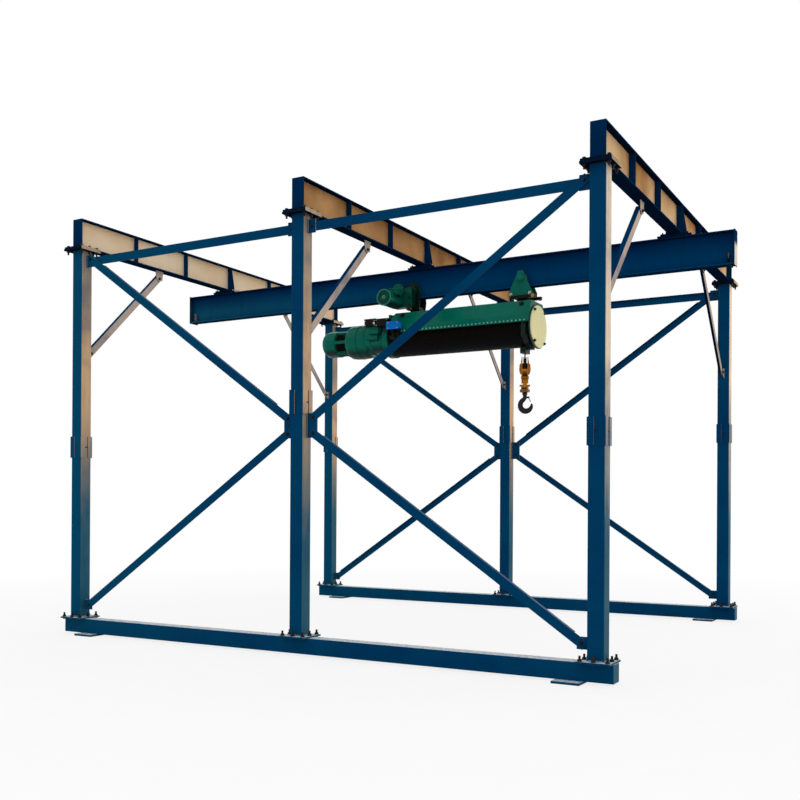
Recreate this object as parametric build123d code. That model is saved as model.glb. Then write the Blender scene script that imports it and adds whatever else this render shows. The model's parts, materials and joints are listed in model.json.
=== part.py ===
from build123d import *
import os
from math import cos, sin, tan, radians, sqrt

# Free-standing gantry with a running wire-rope hoist. Millimetres, +Z up, X along the runway beam.
# The origin is on the ground, midway between the six columns.

os.makedirs("parts", exist_ok=True)

# Overall layout: sizes that can be set one by one
BAY = 3680.0
SIDE_Y = 3070.0
COLUMN_W = 180.0
COLUMN_WALL = 8.0
COLUMN_CORNER = 14.0
COLUMN_H = 4996.0
PAD_T = 25.0
BASE_H = 190.0
BASE_PLATE_T = 20.0
CAP_T = 50.0
CROSS_H = 385.0
CROSS_W = 168.0
HANGER_H = 41.0
RUNWAY_H = 430.0
RUNWAY_W = 150.0
RUNWAY_OVERHANG = 745.0

# Heights and ends that follow from them
BEAM_TOP = PAD_T + BASE_H
COLUMN_Z0 = BEAM_TOP + BASE_PLATE_T
CAP_Z = COLUMN_Z0 + COLUMN_H
CROSS_Z = CAP_Z + CAP_T
CROSS_TOP = CROSS_Z + CROSS_H
RUNWAY_TOP = CROSS_Z - HANGER_H
RUNWAY_Z = RUNWAY_TOP - RUNWAY_H
RUNWAY_END = BAY + RUNWAY_OVERHANG
COLUMN_HALF = COLUMN_W / 2

COLUMN_X = {"left": -BAY, "mid": 0.0, "right": BAY}
SIDES = {"near": -1.0, "far": 1.0}


def block(x0, x1, y0, y1, z0, z1):
    """Box between two corners."""
    size = Box(abs(x1 - x0), abs(y1 - y0), abs(z1 - z0))
    return Pos((x0 + x1) / 2, (y0 + y1) / 2, (z0 + z1) / 2) * size


def rod_x(x0, x1, y, z, r):
    """Round bar along X."""
    return Pos((x0 + x1) / 2, y, z) * (Rot(0, 90, 0) * Cylinder(r, abs(x1 - x0)))


def rod_y(x, y0, y1, z, r):
    """Round bar along Y."""
    return Pos(x, (y0 + y1) / 2, z) * (Rot(90, 0, 0) * Cylinder(r, abs(y1 - y0)))


def rod_z(x, y, z0, z1, r):
    """Round bar along Z."""
    return Pos(x, y, (z0 + z1) / 2) * Cylinder(r, abs(z1 - z0))


def plate_xz(points, y0, y1):
    """Flat plate drawn in X and Z, from y0 to y1."""
    face = make_face(Polyline(*[(x, y0, z) for x, z in points], close=True))
    return extrude(face, amount=abs(y1 - y0), dir=(0, 1 if y1 > y0 else -1, 0))


def plate_yz(points, x0, x1):
    """Flat plate drawn in Y and Z, from x0 to x1."""
    face = make_face(Polyline(*[(x0, y, z) for y, z in points], close=True))
    return extrude(face, amount=abs(x1 - x0), dir=(1 if x1 > x0 else -1, 0, 0))


def turned(points, y, z):
    """Solid turned about a line along X, from (x, radius) points."""
    face = make_face(Polyline(*[(x, 0, r) for x, r in points], close=True))
    return Pos(0, y, z) * revolve(face, Axis.X, 360)


def save(name, shape):
    export_step(shape, f"parts/{name}.step")


# Feet and base beams

FOOT_L = 300.0
FOOT_INSET = 125.0
FOOT_HALF = 215.0
BASE_OVERHANG = 190.0
BASE_WALL = 10.0
DRAIN_R = 12.0
DRAIN_IN = 120.0
CUT = 5.0

BASE_END = BAY + BASE_OVERHANG
FOOT_X1 = BAY - FOOT_INSET
FOOT_X0 = FOOT_X1 - FOOT_L

pads = []
for side in SIDES.values():
    for end in (-1, 1):
        pads.append(
            block(
                end * FOOT_X0, end * FOOT_X1,
                side * SIDE_Y - FOOT_HALF, side * SIDE_Y + FOOT_HALF, 0, PAD_T,
            )
        )
save("foot_pads", Compound(pads))

for name, side in SIDES.items():
    y = side * SIDE_Y
    half = COLUMN_HALF
    beam = block(-BASE_END, BASE_END, y - half, y + half, PAD_T, BEAM_TOP)
    beam -= block(
        -BASE_END + BASE_WALL, BASE_END - BASE_WALL,
        y - half + BASE_WALL, y + half - BASE_WALL,
        PAD_T + BASE_WALL, BEAM_TOP - BASE_WALL,
    )
    for end in (-1, 1):
        # drain hole under each closed end
        x = end * (BASE_END - DRAIN_IN)
        beam -= rod_z(x, y, PAD_T - CUT, PAD_T + BASE_WALL + CUT, DRAIN_R)
    save(f"{name}_base_beam", beam)

# Columns with their plates

BASE_PLATE = 360.0
CAP_PLATE = 340.0
CAP_LOWER_T = 26.0
CAP_UPPER_IN = 6.0

base_plates = []
cap_plates = []
for side_name, side in SIDES.items():
    y = side * SIDE_Y
    for col_name, x in COLUMN_X.items():
        hollow = COLUMN_W - 2 * COLUMN_WALL
        section = RectangleRounded(COLUMN_W, COLUMN_W, COLUMN_CORNER)
        section -= RectangleRounded(hollow, hollow, COLUMN_CORNER / 2)
        tube = Pos(x, y, COLUMN_Z0) * extrude(section, COLUMN_H)
        save(f"{side_name}_{col_name}_column", tube)
        h = BASE_PLATE / 2
        base_plates.append(block(x - h, x + h, y - h, y + h, BEAM_TOP, COLUMN_Z0))
        h = CAP_PLATE / 2
        # the column's own cap, and over it the sole plate of the cross beam
        seam = CAP_Z + CAP_LOWER_T
        cap_plates.append(block(x - h, x + h, y - h, y + h, CAP_Z, seam))
        h -= CAP_UPPER_IN
        cap_plates.append(block(x - h, x + h, y - h, y + h, seam, CROSS_Z))
save("base_plates", Compound(base_plates))
save("cap_plates", Compound(cap_plates))

# Corner angles over the column splices. The joints sit at a different height on each column.

SPLICE_LEN = 290.0
SPLICE_LEG = 74.0
SPLICE_T = 10.0
SPLICE_LOW = 2315.0
SPLICE_MID = 2770.0
SPLICE_HIGH = 2685.0
SPLICE_UP = {
    ("near", "left"): SPLICE_LOW,
    ("near", "mid"): SPLICE_MID,
    ("near", "right"): SPLICE_LOW,
    ("far", "left"): SPLICE_HIGH,
    ("far", "mid"): SPLICE_MID,
    ("far", "right"): SPLICE_HIGH,
}

splices = []
for (side_name, col_name), up in SPLICE_UP.items():
    y = SIDES[side_name] * SIDE_Y
    x = COLUMN_X[col_name]
    out = COLUMN_HALF + SPLICE_T
    leg = out - SPLICE_LEG
    z0 = COLUMN_Z0 + up - SPLICE_LEN / 2
    z1 = COLUMN_Z0 + up + SPLICE_LEN / 2
    for sx in (-1, 1):
        for sy in (-1, 1):
            over_x = block(
                x + sx * leg, x + sx * out, y + sy * COLUMN_HALF, y + sy * out, z0, z1
            )
            over_y = block(
                x + sx * COLUMN_HALF, x + sx * out, y + sy * leg, y + sy * out, z0, z1
            )
            splices.append(over_x + over_y)
save("splice_angles", Compound(splices))

# Gusset wings on the column sides, in the middle plane of each side

GUSSET_T = 12.0
END_GUSSET_OUT = 135.0
TOP_GUSSET_DROP = 59.0
TOP_GUSSET_H = 162.0
LOW_GUSSET_RISE = 120.0
LOW_GUSSET_H = 130.0
MID_GUSSET_OUT = 150.0
MID_GUSSET_H = 292.0
MID_GUSSET_DROP = 7.0
STRUT_GUSSET_OUT = 110.0

MID_Z = COLUMN_Z0 + COLUMN_H / 2 - MID_GUSSET_DROP
TOP_GUSSET = (CAP_Z - TOP_GUSSET_DROP - TOP_GUSSET_H, CAP_Z - TOP_GUSSET_DROP)
LOW_GUSSET = (BEAM_TOP + LOW_GUSSET_RISE, BEAM_TOP + LOW_GUSSET_RISE + LOW_GUSSET_H)
MID_GUSSET = (MID_Z - MID_GUSSET_H / 2, MID_Z + MID_GUSSET_H / 2)

gussets = []
for side in SIDES.values():
    y0 = side * SIDE_Y - GUSSET_T / 2
    y1 = side * SIDE_Y + GUSSET_T / 2
    for x, inward in ((-BAY, 1), (BAY, -1)):
        a = x + inward * COLUMN_HALF
        b = a + inward * END_GUSSET_OUT
        gussets.append(block(a, b, y0, y1, *TOP_GUSSET))
        gussets.append(block(a, b, y0, y1, *LOW_GUSSET))
    for s in (-1, 1):
        a = s * COLUMN_HALF
        gussets.append(block(a, a + s * MID_GUSSET_OUT, y0, y1, *MID_GUSSET))
        gussets.append(block(a, a + s * STRUT_GUSSET_OUT, y0, y1, *TOP_GUSSET))
save("side_gussets", Compound(gussets))

# Angle bars of the two sides. Bolt places are measured from the column faces and the gussets.

LEG_W = 100.0
STRUT_W = 112.0
SHELF_W = 50.0
LEG_T = 10.0
BAR_OVER = 45.0
LOWER_COPE = 175.0
UPPER_COPE = 300.0
STRUT_COPE = 120.0
TOP_BOLT_OUT = 80.0
TOP_BOLT_DROP = 58.0
LOW_BOLT_OUT = 84.0
LOW_BOLT_RISE = 62.0
MID_BOLT_OUT = 95.0
MID_BOLT_GAP = 187.0
STRUT_DROP = 84.0
STRUT_END_OUT = 80.0
STRUT_MID_OUT = 50.0


def side_bar(side, start, end, outside, width, cope):
    """Angle bar from one bolt to the other in a side's plane, bolted to one face of the gussets."""
    dx = end[0] - start[0]
    dz = end[1] - start[1]
    length = sqrt(dx * dx + dz * dz)
    along = (dx / length, 0, dz / length)
    up = (-dz / length, 0, dx / length)
    inward = -side
    face = side * SIDE_Y + (side if outside else inward) * GUSSET_T / 2
    # the upright leg lies against the gusset, the upper leg points into the gantry
    near_face = (face + side * LEG_T) if outside else face
    frame = Plane(origin=(start[0], 0, start[1]), x_dir=along, z_dir=up)
    a, b = sorted((near_face, near_face + inward * LEG_T))
    half = width / 2
    upright = block(-BAR_OVER, length + BAR_OVER, a, b, -half, half)
    c, d = sorted((near_face, near_face + inward * SHELF_W))
    shelf = block(-BAR_OVER + cope, length + BAR_OVER - cope, c, d, half - LEG_T, half)
    return frame.location * (upright + shelf)


STRUT_Z = TOP_GUSSET[1] - STRUT_DROP
for name, side in SIDES.items():
    struts = []
    for s in (-1, 1):
        at_mid = s * (COLUMN_HALF + STRUT_MID_OUT)
        at_end = s * (BAY - COLUMN_HALF - STRUT_END_OUT)
        a, b = sorted((at_mid, at_end))
        struts.append(side_bar(side, (a, STRUT_Z), (b, STRUT_Z), False, STRUT_W, STRUT_COPE))
    save(f"{name}_top_struts", Compound(struts))

for name, side in SIDES.items():
    for bay, s in (("left", -1), ("right", 1)):
        mid_x = s * (COLUMN_HALF + MID_BOLT_OUT)
        mid_low = (mid_x, MID_Z - MID_BOLT_GAP / 2)
        mid_high = (mid_x, MID_Z + MID_BOLT_GAP / 2)
        low = (s * (BAY - COLUMN_HALF - LOW_BOLT_OUT), LOW_GUSSET[0] + LOW_BOLT_RISE)
        top = (s * (BAY - COLUMN_HALF - TOP_BOLT_OUT), TOP_GUSSET[1] - TOP_BOLT_DROP)
        a, b = sorted((mid_high, top))
        save(f"{name}_{bay}_upper_brace", side_bar(side, a, b, True, LEG_W, UPPER_COPE))
        a, b = sorted((mid_low, low))
        save(f"{name}_{bay}_lower_brace", side_bar(side, a, b, True, LEG_W, LOWER_COPE))

# Cross beams, flush with the outer faces of the columns

CROSS_FLANGE = 14.0
CROSS_WEB = 10.0
STIFF_T = 12.0
STIFF_INSET = 4.0
RIB_OVER = 60.0

CROSS_HALF = SIDE_Y + COLUMN_HALF
STIFF_Y = CROSS_HALF / 3
WEB_Z0 = CROSS_Z + CROSS_FLANGE
WEB_Z1 = CROSS_TOP - CROSS_FLANGE

for name, x in COLUMN_X.items():
    w = CROSS_W / 2
    end = CROSS_HALF - STIFF_T
    beam = block(x - w, x + w, -end, end, CROSS_Z, WEB_Z0)
    beam += block(x - w, x + w, -end, end, WEB_Z1, CROSS_TOP)
    beam += block(x - CROSS_WEB / 2, x + CROSS_WEB / 2, -end, end, WEB_Z0, WEB_Z1)
    for s in (-1, 1):
        beam += block(x - w, x + w, s * end, s * CROSS_HALF, CROSS_Z, CROSS_TOP)
        a = x + s * CROSS_WEB / 2
        b = x + s * (w - STIFF_INSET)
        for k in (-2, -1, 1, 2):
            y = k * STIFF_Y
            beam += block(a, b, y - STIFF_T / 2, y + STIFF_T / 2, WEB_Z0, WEB_Z1)
        # spread rib over the runway hanger
        rib = [(a, WEB_Z0), (b + s * RIB_OVER, WEB_Z0), (b, WEB_Z1), (a, WEB_Z1)]
        beam += plate_xz(rib, -STIFF_T / 2, STIFF_T / 2)
    save(f"{name}_cross_beam", beam)

# Knee braces between columns and cross beams

KNEE_LEG_W = 90.0
KNEE_LIP_W = 60.0
KNEE_T = 9.0
KNEE_LOW_OUT = 72.0
KNEE_LOW_DROP = 1419.0
KNEE_HIGH_OUT = 1390.0
KNEE_HIGH_DROP = 116.0

for name, x in COLUMN_X.items():
    knees = []
    for side in SIDES.values():
        inner = SIDE_Y - COLUMN_HALF
        low = (side * (inner - KNEE_LOW_OUT), CROSS_Z - KNEE_LOW_DROP)
        high = (side * (inner - KNEE_HIGH_OUT), CROSS_Z - KNEE_HIGH_DROP)
        dy = high[0] - low[0]
        dz = high[1] - low[1]
        length = sqrt(dy * dy + dz * dz)
        along = (0, dy / length, dz / length)
        up = (0, side * dz / length, -side * dy / length)
        frame = Plane(origin=(x, low[0], low[1]), x_dir=along, z_dir=up)
        # the frame's own y axis runs along X, towards +X on the far side only;
        # the bar lies behind its end plates, with its upper leg towards -X
        g = GUSSET_T / 2
        half = KNEE_LEG_W / 2
        a, b = sorted((-side * g, -side * (g + KNEE_T)))
        flat = block(-BAR_OVER, length + BAR_OVER, a, b, -half, half)
        c, d = sorted((-side * g, -side * (g + KNEE_LIP_W)))
        lip = block(-BAR_OVER, length + BAR_OVER, c, d, half - KNEE_T, half)
        knees.append(frame.location * (flat + lip))
        # plates at both ends, sized to the bar's leg
        k = KNEE_LEG_W
        face = side * inner
        low_plate = [
            (face, low[1] - k), (face - side * 0.5 * k, low[1] - 0.7 * k),
            (face - side * 1.2 * k, low[1]), (face - side * 0.9 * k, low[1] + 0.5 * k),
            (face, low[1] + 0.7 * k),
        ]
        high_plate = [
            (high[0] + side * 0.8 * k, CROSS_Z), (high[0] - side * 0.9 * k, CROSS_Z),
            (high[0] - side * 0.7 * k, high[1] - 0.2 * k), (high[0] + side * 0.1 * k, high[1] - 0.5 * k),
            (high[0] + side * 0.7 * k, high[1]),
        ]
        knees.append(plate_yz(low_plate, x - g, x + g))
        knees.append(plate_yz(high_plate, x - g, x + g))
    save(f"{name}_knee_braces", Compound(knees))

# Runway beam of plates, with its hangers and end plates

RUNWAY_FLANGE = 18.0
RUNWAY_WEB = 12.0
END_PLATE_T = 12.0
END_PLATE_LIP = 10.0
HANGER_HALF_X = 220.0
HANGER_HALF_Y = 100.0
HANGER_PLATE_T = 20.0
HANGER_STEP = 40.0

w = RUNWAY_W / 2
end = RUNWAY_END - END_PLATE_T
flange_z0 = RUNWAY_Z + RUNWAY_FLANGE
flange_z1 = RUNWAY_TOP - RUNWAY_FLANGE
runway = [
    block(-end, end, -w, w, RUNWAY_Z, flange_z0),
    block(-end, end, -w, w, flange_z1, RUNWAY_TOP),
    block(-end, end, -RUNWAY_WEB / 2, RUNWAY_WEB / 2, flange_z0, flange_z1),
]
for s in (-1, 1):
    lip = w + END_PLATE_LIP
    runway.append(
        block(s * end, s * RUNWAY_END, -lip, lip, RUNWAY_Z - END_PLATE_LIP, RUNWAY_TOP + END_PLATE_LIP / 2)
    )
save("runway_beam", Compound(runway))

hangers = []
for x in COLUMN_X.values():
    a = HANGER_HALF_X
    b = HANGER_HALF_X - HANGER_STEP
    hy = HANGER_HALF_Y
    middle = RUNWAY_TOP + HANGER_PLATE_T
    low = block(x - a, x + a, -hy, hy, RUNWAY_TOP, middle)
    high = block(x - b, x + b, -hy, hy, middle, CROSS_Z)
    hangers.append(low + high)
save("runway_hangers", Compound(hangers))

# Hoist: drum on its shaft, under a folded shell

SHELL_DROP = 220.0
SHELL_ROOM = 82.0
DRUM_R = 258.0
DRUM_WALL = 24.0
DRUM_X0 = -462.0
DRUM_L = 2215.0
DRUM_END_T = 20.0
DRUM_VENT_R = 20.0
DRUM_VENT_OUT = 150.0
SHAFT_R = 60.0
SHAFT_BORE = 35.0
SHAFT_OUT = 38.0
SHAFT_ROOM = 0.5
DRUM_END_ROOM = 8.0

SHELL_TOP = RUNWAY_Z - SHELL_DROP
AXIS_Z = SHELL_TOP - SHELL_ROOM - DRUM_R
DRUM_X1 = DRUM_X0 + DRUM_L

drum = rod_x(DRUM_X0, DRUM_X1, 0, AXIS_Z, DRUM_R)
drum -= rod_x(DRUM_X0 - CUT, DRUM_X1 + CUT, 0, AXIS_Z, DRUM_R - DRUM_WALL)
drum += rod_x(DRUM_X0, DRUM_X0 + DRUM_END_T, 0, AXIS_Z, DRUM_R)
drum += rod_x(DRUM_X1 - DRUM_END_T, DRUM_X1, 0, AXIS_Z, DRUM_R)
drum += rod_x(DRUM_X0 - SHAFT_OUT, DRUM_X1 + SHAFT_OUT, 0, AXIS_Z, SHAFT_R)
drum -= rod_x(DRUM_X0 - 2 * SHAFT_OUT, DRUM_X1 + 2 * SHAFT_OUT, 0, AXIS_Z, SHAFT_BORE)
# vent hole through each end wall of the drum
drum -= rod_x(DRUM_X0 - CUT, DRUM_X1 + CUT, 0, AXIS_Z + DRUM_VENT_OUT, DRUM_VENT_R)
save("rope_drum", drum)

SHELL_IN = 45.0
SHELL_OUT = 22.0
SHELL_T = 10.0
SKIRT_OUT = 64.0
SKIRT_UP = 35.0
CREASE_OUT = 38.0
CREASE_UP = 140.0
ROOF_HALF = 206.0
ROOF_CORNER_X = 57.0
ROOF_CORNER_Z = 85.0
TONGUE_L = 80.0
TONGUE_HALF = 150.0
TONGUE_T = 21.0

SHELL_X0 = DRUM_X0 + SHELL_IN
SHELL_X1 = DRUM_X1 + SHELL_OUT
REDUCER_X1 = DRUM_X0 - DRUM_END_ROOM

skirt = DRUM_R + SKIRT_OUT
crease = DRUM_R + CREASE_OUT
outline = [
    (-skirt, AXIS_Z + SKIRT_UP), (-crease, AXIS_Z + CREASE_UP), (-ROOF_HALF, SHELL_TOP),
    (ROOF_HALF, SHELL_TOP), (crease, AXIS_Z + CREASE_UP), (skirt, AXIS_Z + SKIRT_UP),
]
roof = ROOF_HALF - 0.6 * SHELL_T
inside = [
    (skirt - SHELL_T, AXIS_Z + SKIRT_UP), (crease - SHELL_T, AXIS_Z + CREASE_UP),
    (roof, SHELL_TOP - SHELL_T), (-roof, SHELL_TOP - SHELL_T),
    (-crease + SHELL_T, AXIS_Z + CREASE_UP), (-skirt + SHELL_T, AXIS_Z + SKIRT_UP),
]
shell = plate_yz(outline + inside, SHELL_X0, SHELL_X1)
shell += plate_yz(outline, SHELL_X1 - SHELL_T, SHELL_X1)
corner = [
    (SHELL_X0 - 1, SHELL_TOP - ROOF_CORNER_Z), (SHELL_X0 - 1, SHELL_TOP + 1),
    (SHELL_X0 + ROOF_CORNER_X, SHELL_TOP + 1),
]
shell -= plate_xz(corner, -2 * skirt, 2 * skirt)
tongue_z = SHELL_TOP - SHELL_T
shell += block(
    REDUCER_X1, SHELL_X0 + TONGUE_L, -TONGUE_HALF, TONGUE_HALF, tongue_z - TONGUE_T, tongue_z
)
shell -= rod_x(SHELL_X1 - 3 * SHELL_T, SHELL_X1 + CUT, 0, AXIS_Z, SHAFT_R + SHAFT_ROOM)
save("hoist_shell", shell)

# Hoist: end cover, a flat disc in a rim, a little domed

COVER_OVER = 44.0
COVER_RING_L = 16.0
COVER_STEP = 10.0
COVER_DOME_L = 28.0

cover_r = DRUM_R + COVER_OVER
ring_x = SHELL_X1 + COVER_RING_L
dome_r = cover_r - COVER_STEP
cover_x = ring_x + COVER_DOME_L
cover = turned(
    [
        (SHELL_X1, 0), (SHELL_X1, cover_r), (ring_x, cover_r), (ring_x, dome_r),
        (cover_x - 0.51 * COVER_DOME_L, 0.993 * dome_r), (cover_x - 0.26 * COVER_DOME_L, 0.923 * dome_r),
        (cover_x - 0.09 * COVER_DOME_L, 0.722 * dome_r), (cover_x - 0.02 * COVER_DOME_L, 0.423 * dome_r),
        (cover_x, 0),
    ],
    0, AXIS_Z,
)
cover_bore = SHELL_X1 + SHAFT_OUT - SHELL_OUT + 9
cover -= rod_x(SHELL_X1 - CUT, cover_bore, 0, AXIS_Z, SHAFT_R + SHAFT_ROOM)
save("drum_end_cover", cover)

# Hoist: reducer between motor and drum, with the saddle for the control box

REDUCER_L = 410.0
REDUCER_WALL = 40.0
REDUCER_NECK_R = 226.0
REDUCER_WAIST_R = 198.0
REDUCER_END_R = 282.0
REDUCER_BOX_HALF = 150.0
SADDLE_X0 = 105.0
SADDLE_L = 188.0
SADDLE_Y0 = 165.0
SADDLE_Y1 = 330.0
SADDLE_UP = 50.0
SADDLE_H = 96.0
GEAR_LOBE_R = 110.0
GEAR_BOSS_R = 72.0

REDUCER_X0 = REDUCER_X1 - REDUCER_L
wall_x = REDUCER_X1 - REDUCER_WALL
reducer = turned(
    [
        (REDUCER_X0, 0), (REDUCER_X0, REDUCER_NECK_R), (REDUCER_X0 + 0.17 * REDUCER_L, REDUCER_NECK_R),
        (REDUCER_X0 + 0.22 * REDUCER_L, 1.04 * REDUCER_WAIST_R),
        (REDUCER_X0 + 0.66 * REDUCER_L, REDUCER_WAIST_R),
        (REDUCER_X0 + 0.76 * REDUCER_L, 1.12 * REDUCER_WAIST_R),
        (wall_x - REDUCER_WALL, REDUCER_END_R), (REDUCER_X1, REDUCER_END_R), (REDUCER_X1, 0),
    ],
    0, AXIS_Z,
)
reducer += block(wall_x, REDUCER_X1, -REDUCER_BOX_HALF, REDUCER_BOX_HALF, AXIS_Z, SHELL_TOP)
saddle_x = REDUCER_X0 + SADDLE_X0
saddle_z = AXIS_Z + SADDLE_UP + SADDLE_H
reducer += block(
    saddle_x, saddle_x + SADDLE_L, -SADDLE_Y1, -SADDLE_Y0, AXIS_Z + SADDLE_UP, saddle_z
)
boss_x = REDUCER_X0 + REDUCER_WALL
reducer += rod_x(boss_x, boss_x + SADDLE_L, -0.9 * REDUCER_WAIST_R, AXIS_Z + SADDLE_UP / 2, GEAR_BOSS_R)
lobe_y = 0.63 * REDUCER_WAIST_R
reducer += rod_x(boss_x, boss_x + SADDLE_L, lobe_y, AXIS_Z - 0.44 * REDUCER_WAIST_R, GEAR_LOBE_R)
bore_x = DRUM_X0 - SHAFT_OUT - 2
reducer -= rod_x(bore_x, REDUCER_X1 + CUT, 0, AXIS_Z, SHAFT_R + SHAFT_ROOM)
save("reducer_housing", reducer)

# Hoist: lifting motor, turned, with a ribbed vent behind the end cap

LIFT_DROP = 8.0
LIFT_CAP_R = 197.0
LIFT_CAP_L = 245.0
LIFT_VENT_R = 150.0
LIFT_VENT_L = 205.0
LIFT_BODY_R = 257.0
LIFT_BODY_L = 360.0
LIFT_RIBS = 6
LIFT_RIB_W = 46.0
LIFT_RIB_OUT = 42.0

lift_z = AXIS_Z - LIFT_DROP
body_x = REDUCER_X0 - LIFT_BODY_L
vent_x = body_x - LIFT_VENT_L
cap_x = vent_x - LIFT_CAP_L
motor = turned(
    [
        (cap_x, 0), (cap_x, 0.67 * LIFT_CAP_R), (cap_x + 0.04 * LIFT_CAP_L, 0.83 * LIFT_CAP_R),
        (cap_x + 0.14 * LIFT_CAP_L, 0.933 * LIFT_CAP_R), (cap_x + 0.3 * LIFT_CAP_L, 0.987 * LIFT_CAP_R),
        (cap_x + 0.415 * LIFT_CAP_L, LIFT_CAP_R), (vent_x, LIFT_CAP_R), (vent_x, LIFT_VENT_R),
        (body_x, LIFT_VENT_R), (body_x, 0.83 * LIFT_BODY_R),
        (body_x + 0.05 * LIFT_BODY_L, 0.83 * LIFT_BODY_R),
        (body_x + 0.05 * LIFT_BODY_L, 0.904 * LIFT_BODY_R),
        (body_x + 0.11 * LIFT_BODY_L, 0.949 * LIFT_BODY_R),
        (body_x + 0.28 * LIFT_BODY_L, 0.985 * LIFT_BODY_R),
        (body_x + 0.583 * LIFT_BODY_L, LIFT_BODY_R),
        (body_x + 0.583 * LIFT_BODY_L, 0.97 * LIFT_BODY_R),
        (body_x + 0.617 * LIFT_BODY_L, 0.97 * LIFT_BODY_R),
        (body_x + 0.617 * LIFT_BODY_L, 0.996 * LIFT_BODY_R),
        (body_x + 0.89 * LIFT_BODY_L, 0.963 * LIFT_BODY_R),
        (REDUCER_X0, 0.882 * LIFT_BODY_R), (REDUCER_X0, 0),
    ],
    0, lift_z,
)
for k in range(LIFT_RIBS):
    half = LIFT_RIB_W / 2
    rib = block(
        vent_x - CUT, body_x + CUT, -half, half, LIFT_VENT_R - LIFT_RIB_W / 3, LIFT_VENT_R + LIFT_RIB_OUT
    )
    motor += Pos(0, 0, lift_z) * (Rot((k + 0.5) * 360 / LIFT_RIBS, 0, 0) * rib)
save("lifting_motor", motor)

# Hoist: control box on the saddle, and the switch cover beside it

CONTROL_H = 104.0
CONTROL_Y1 = 400.0
CONTROL_WING_L = 205.0
CONTROL_WING_T = 100.0
CONTROL_WING_DROP = 12.0
CONTROL_WING_H = 112.0
SWITCH_L = 215.0
SWITCH_W = 106.0
SWITCH_H = 116.0
SWITCH_OUT = 46.0
SWITCH_DROP = 68.0
SWITCH_FILLET = 30.0

control = block(saddle_x, saddle_x + SADDLE_L, -CONTROL_Y1, -SADDLE_Y0, saddle_z, saddle_z + CONTROL_H)
wing_x = saddle_x + SADDLE_L
wing_z = saddle_z - CONTROL_WING_DROP
control += block(
    wing_x, wing_x + CONTROL_WING_L, -CONTROL_Y1, -CONTROL_Y1 + CONTROL_WING_T,
    wing_z, wing_z + CONTROL_WING_H,
)
save("control_box", control)

switch_x = wing_x + CONTROL_WING_L
switch_y = -CONTROL_Y1 - SWITCH_OUT
switch_z = wing_z - SWITCH_DROP
switch = block(switch_x, switch_x + SWITCH_L, switch_y, switch_y + SWITCH_W, switch_z, switch_z + SWITCH_H)
switch = fillet(switch.edges().group_by(Axis.X)[-1], SWITCH_FILLET)
save("limit_switch_cover", switch)

# Hoist: trolleys. The wheels stand on the lower flange, one each side of the web.

WHEEL_R = 90.0
WHEEL_SEAT = 0.8
WEB_ROOM = 11.0
RIM_ROOM = 6.0
PLATE_ROOM = 13.0
PLATE_T = 12.0
AXLE_R = 21.5
AXLE_ROOM = 0.5
AXLE_OUT = 18.0
DRIVE_X = -130.0
IDLE_X = 1565.0
TIE_DROP = 170.0
TIE_H = 44.0
TIE_HALF_X = 90.0
POST_HALF_X = 70.0
POST_HALF_Y = 40.0
PLATE_HALF = 118.0
PLATE_OVER = 26.0
HORN_DROP = 55.0
IDLE_REACH = 172.0
IDLE_BAR_T = 44.0
IDLE_BAR_IN = 125.0
IDLE_BAR_OUT = 235.0

WHEEL_Z = RUNWAY_Z + RUNWAY_FLANGE + WHEEL_SEAT + WHEEL_R
WHEEL_Y0 = RUNWAY_WEB / 2 + WEB_ROOM
WHEEL_Y1 = RUNWAY_W / 2 - RIM_ROOM
PLATE_Y0 = RUNWAY_W / 2 + PLATE_ROOM
PLATE_Y1 = PLATE_Y0 + PLATE_T
PLATE_TOP = WHEEL_Z + WHEEL_R + PLATE_OVER
TIE_Z = RUNWAY_Z - TIE_DROP
TIE_TOP = TIE_Z + TIE_H


def trolley_core(x):
    """Tie between the side plates, the post down to the shell and the four axle halves."""
    core = block(x - TIE_HALF_X, x + TIE_HALF_X, -PLATE_Y0, PLATE_Y0, TIE_Z, TIE_TOP)
    core += block(x - POST_HALF_X, x + POST_HALF_X, -POST_HALF_Y, POST_HALF_Y, SHELL_TOP, TIE_Z)
    for s in (-1, 1):
        core += rod_y(x, s * (WHEEL_Y0 + 2), s * (PLATE_Y1 + AXLE_OUT), WHEEL_Z, AXLE_R)
    return core


drive = trolley_core(DRIVE_X)
for s in (-1, 1):
    side_plate = [
        (DRIVE_X - 0.87 * PLATE_HALF, TIE_Z), (DRIVE_X + 0.87 * PLATE_HALF, TIE_Z),
        (DRIVE_X + PLATE_HALF, TIE_TOP + 1.7 * TIE_H), (DRIVE_X + 0.8 * PLATE_HALF, PLATE_TOP - HORN_DROP),
        (DRIVE_X + 0.4 * PLATE_HALF, PLATE_TOP), (DRIVE_X - 0.4 * PLATE_HALF, PLATE_TOP),
        (DRIVE_X - 0.8 * PLATE_HALF, PLATE_TOP - HORN_DROP), (DRIVE_X - PLATE_HALF, TIE_TOP + 1.7 * TIE_H),
    ]
    drive += plate_xz(side_plate, s * PLATE_Y0, s * PLATE_Y1)
save("driving_trolley", drive)

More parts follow.
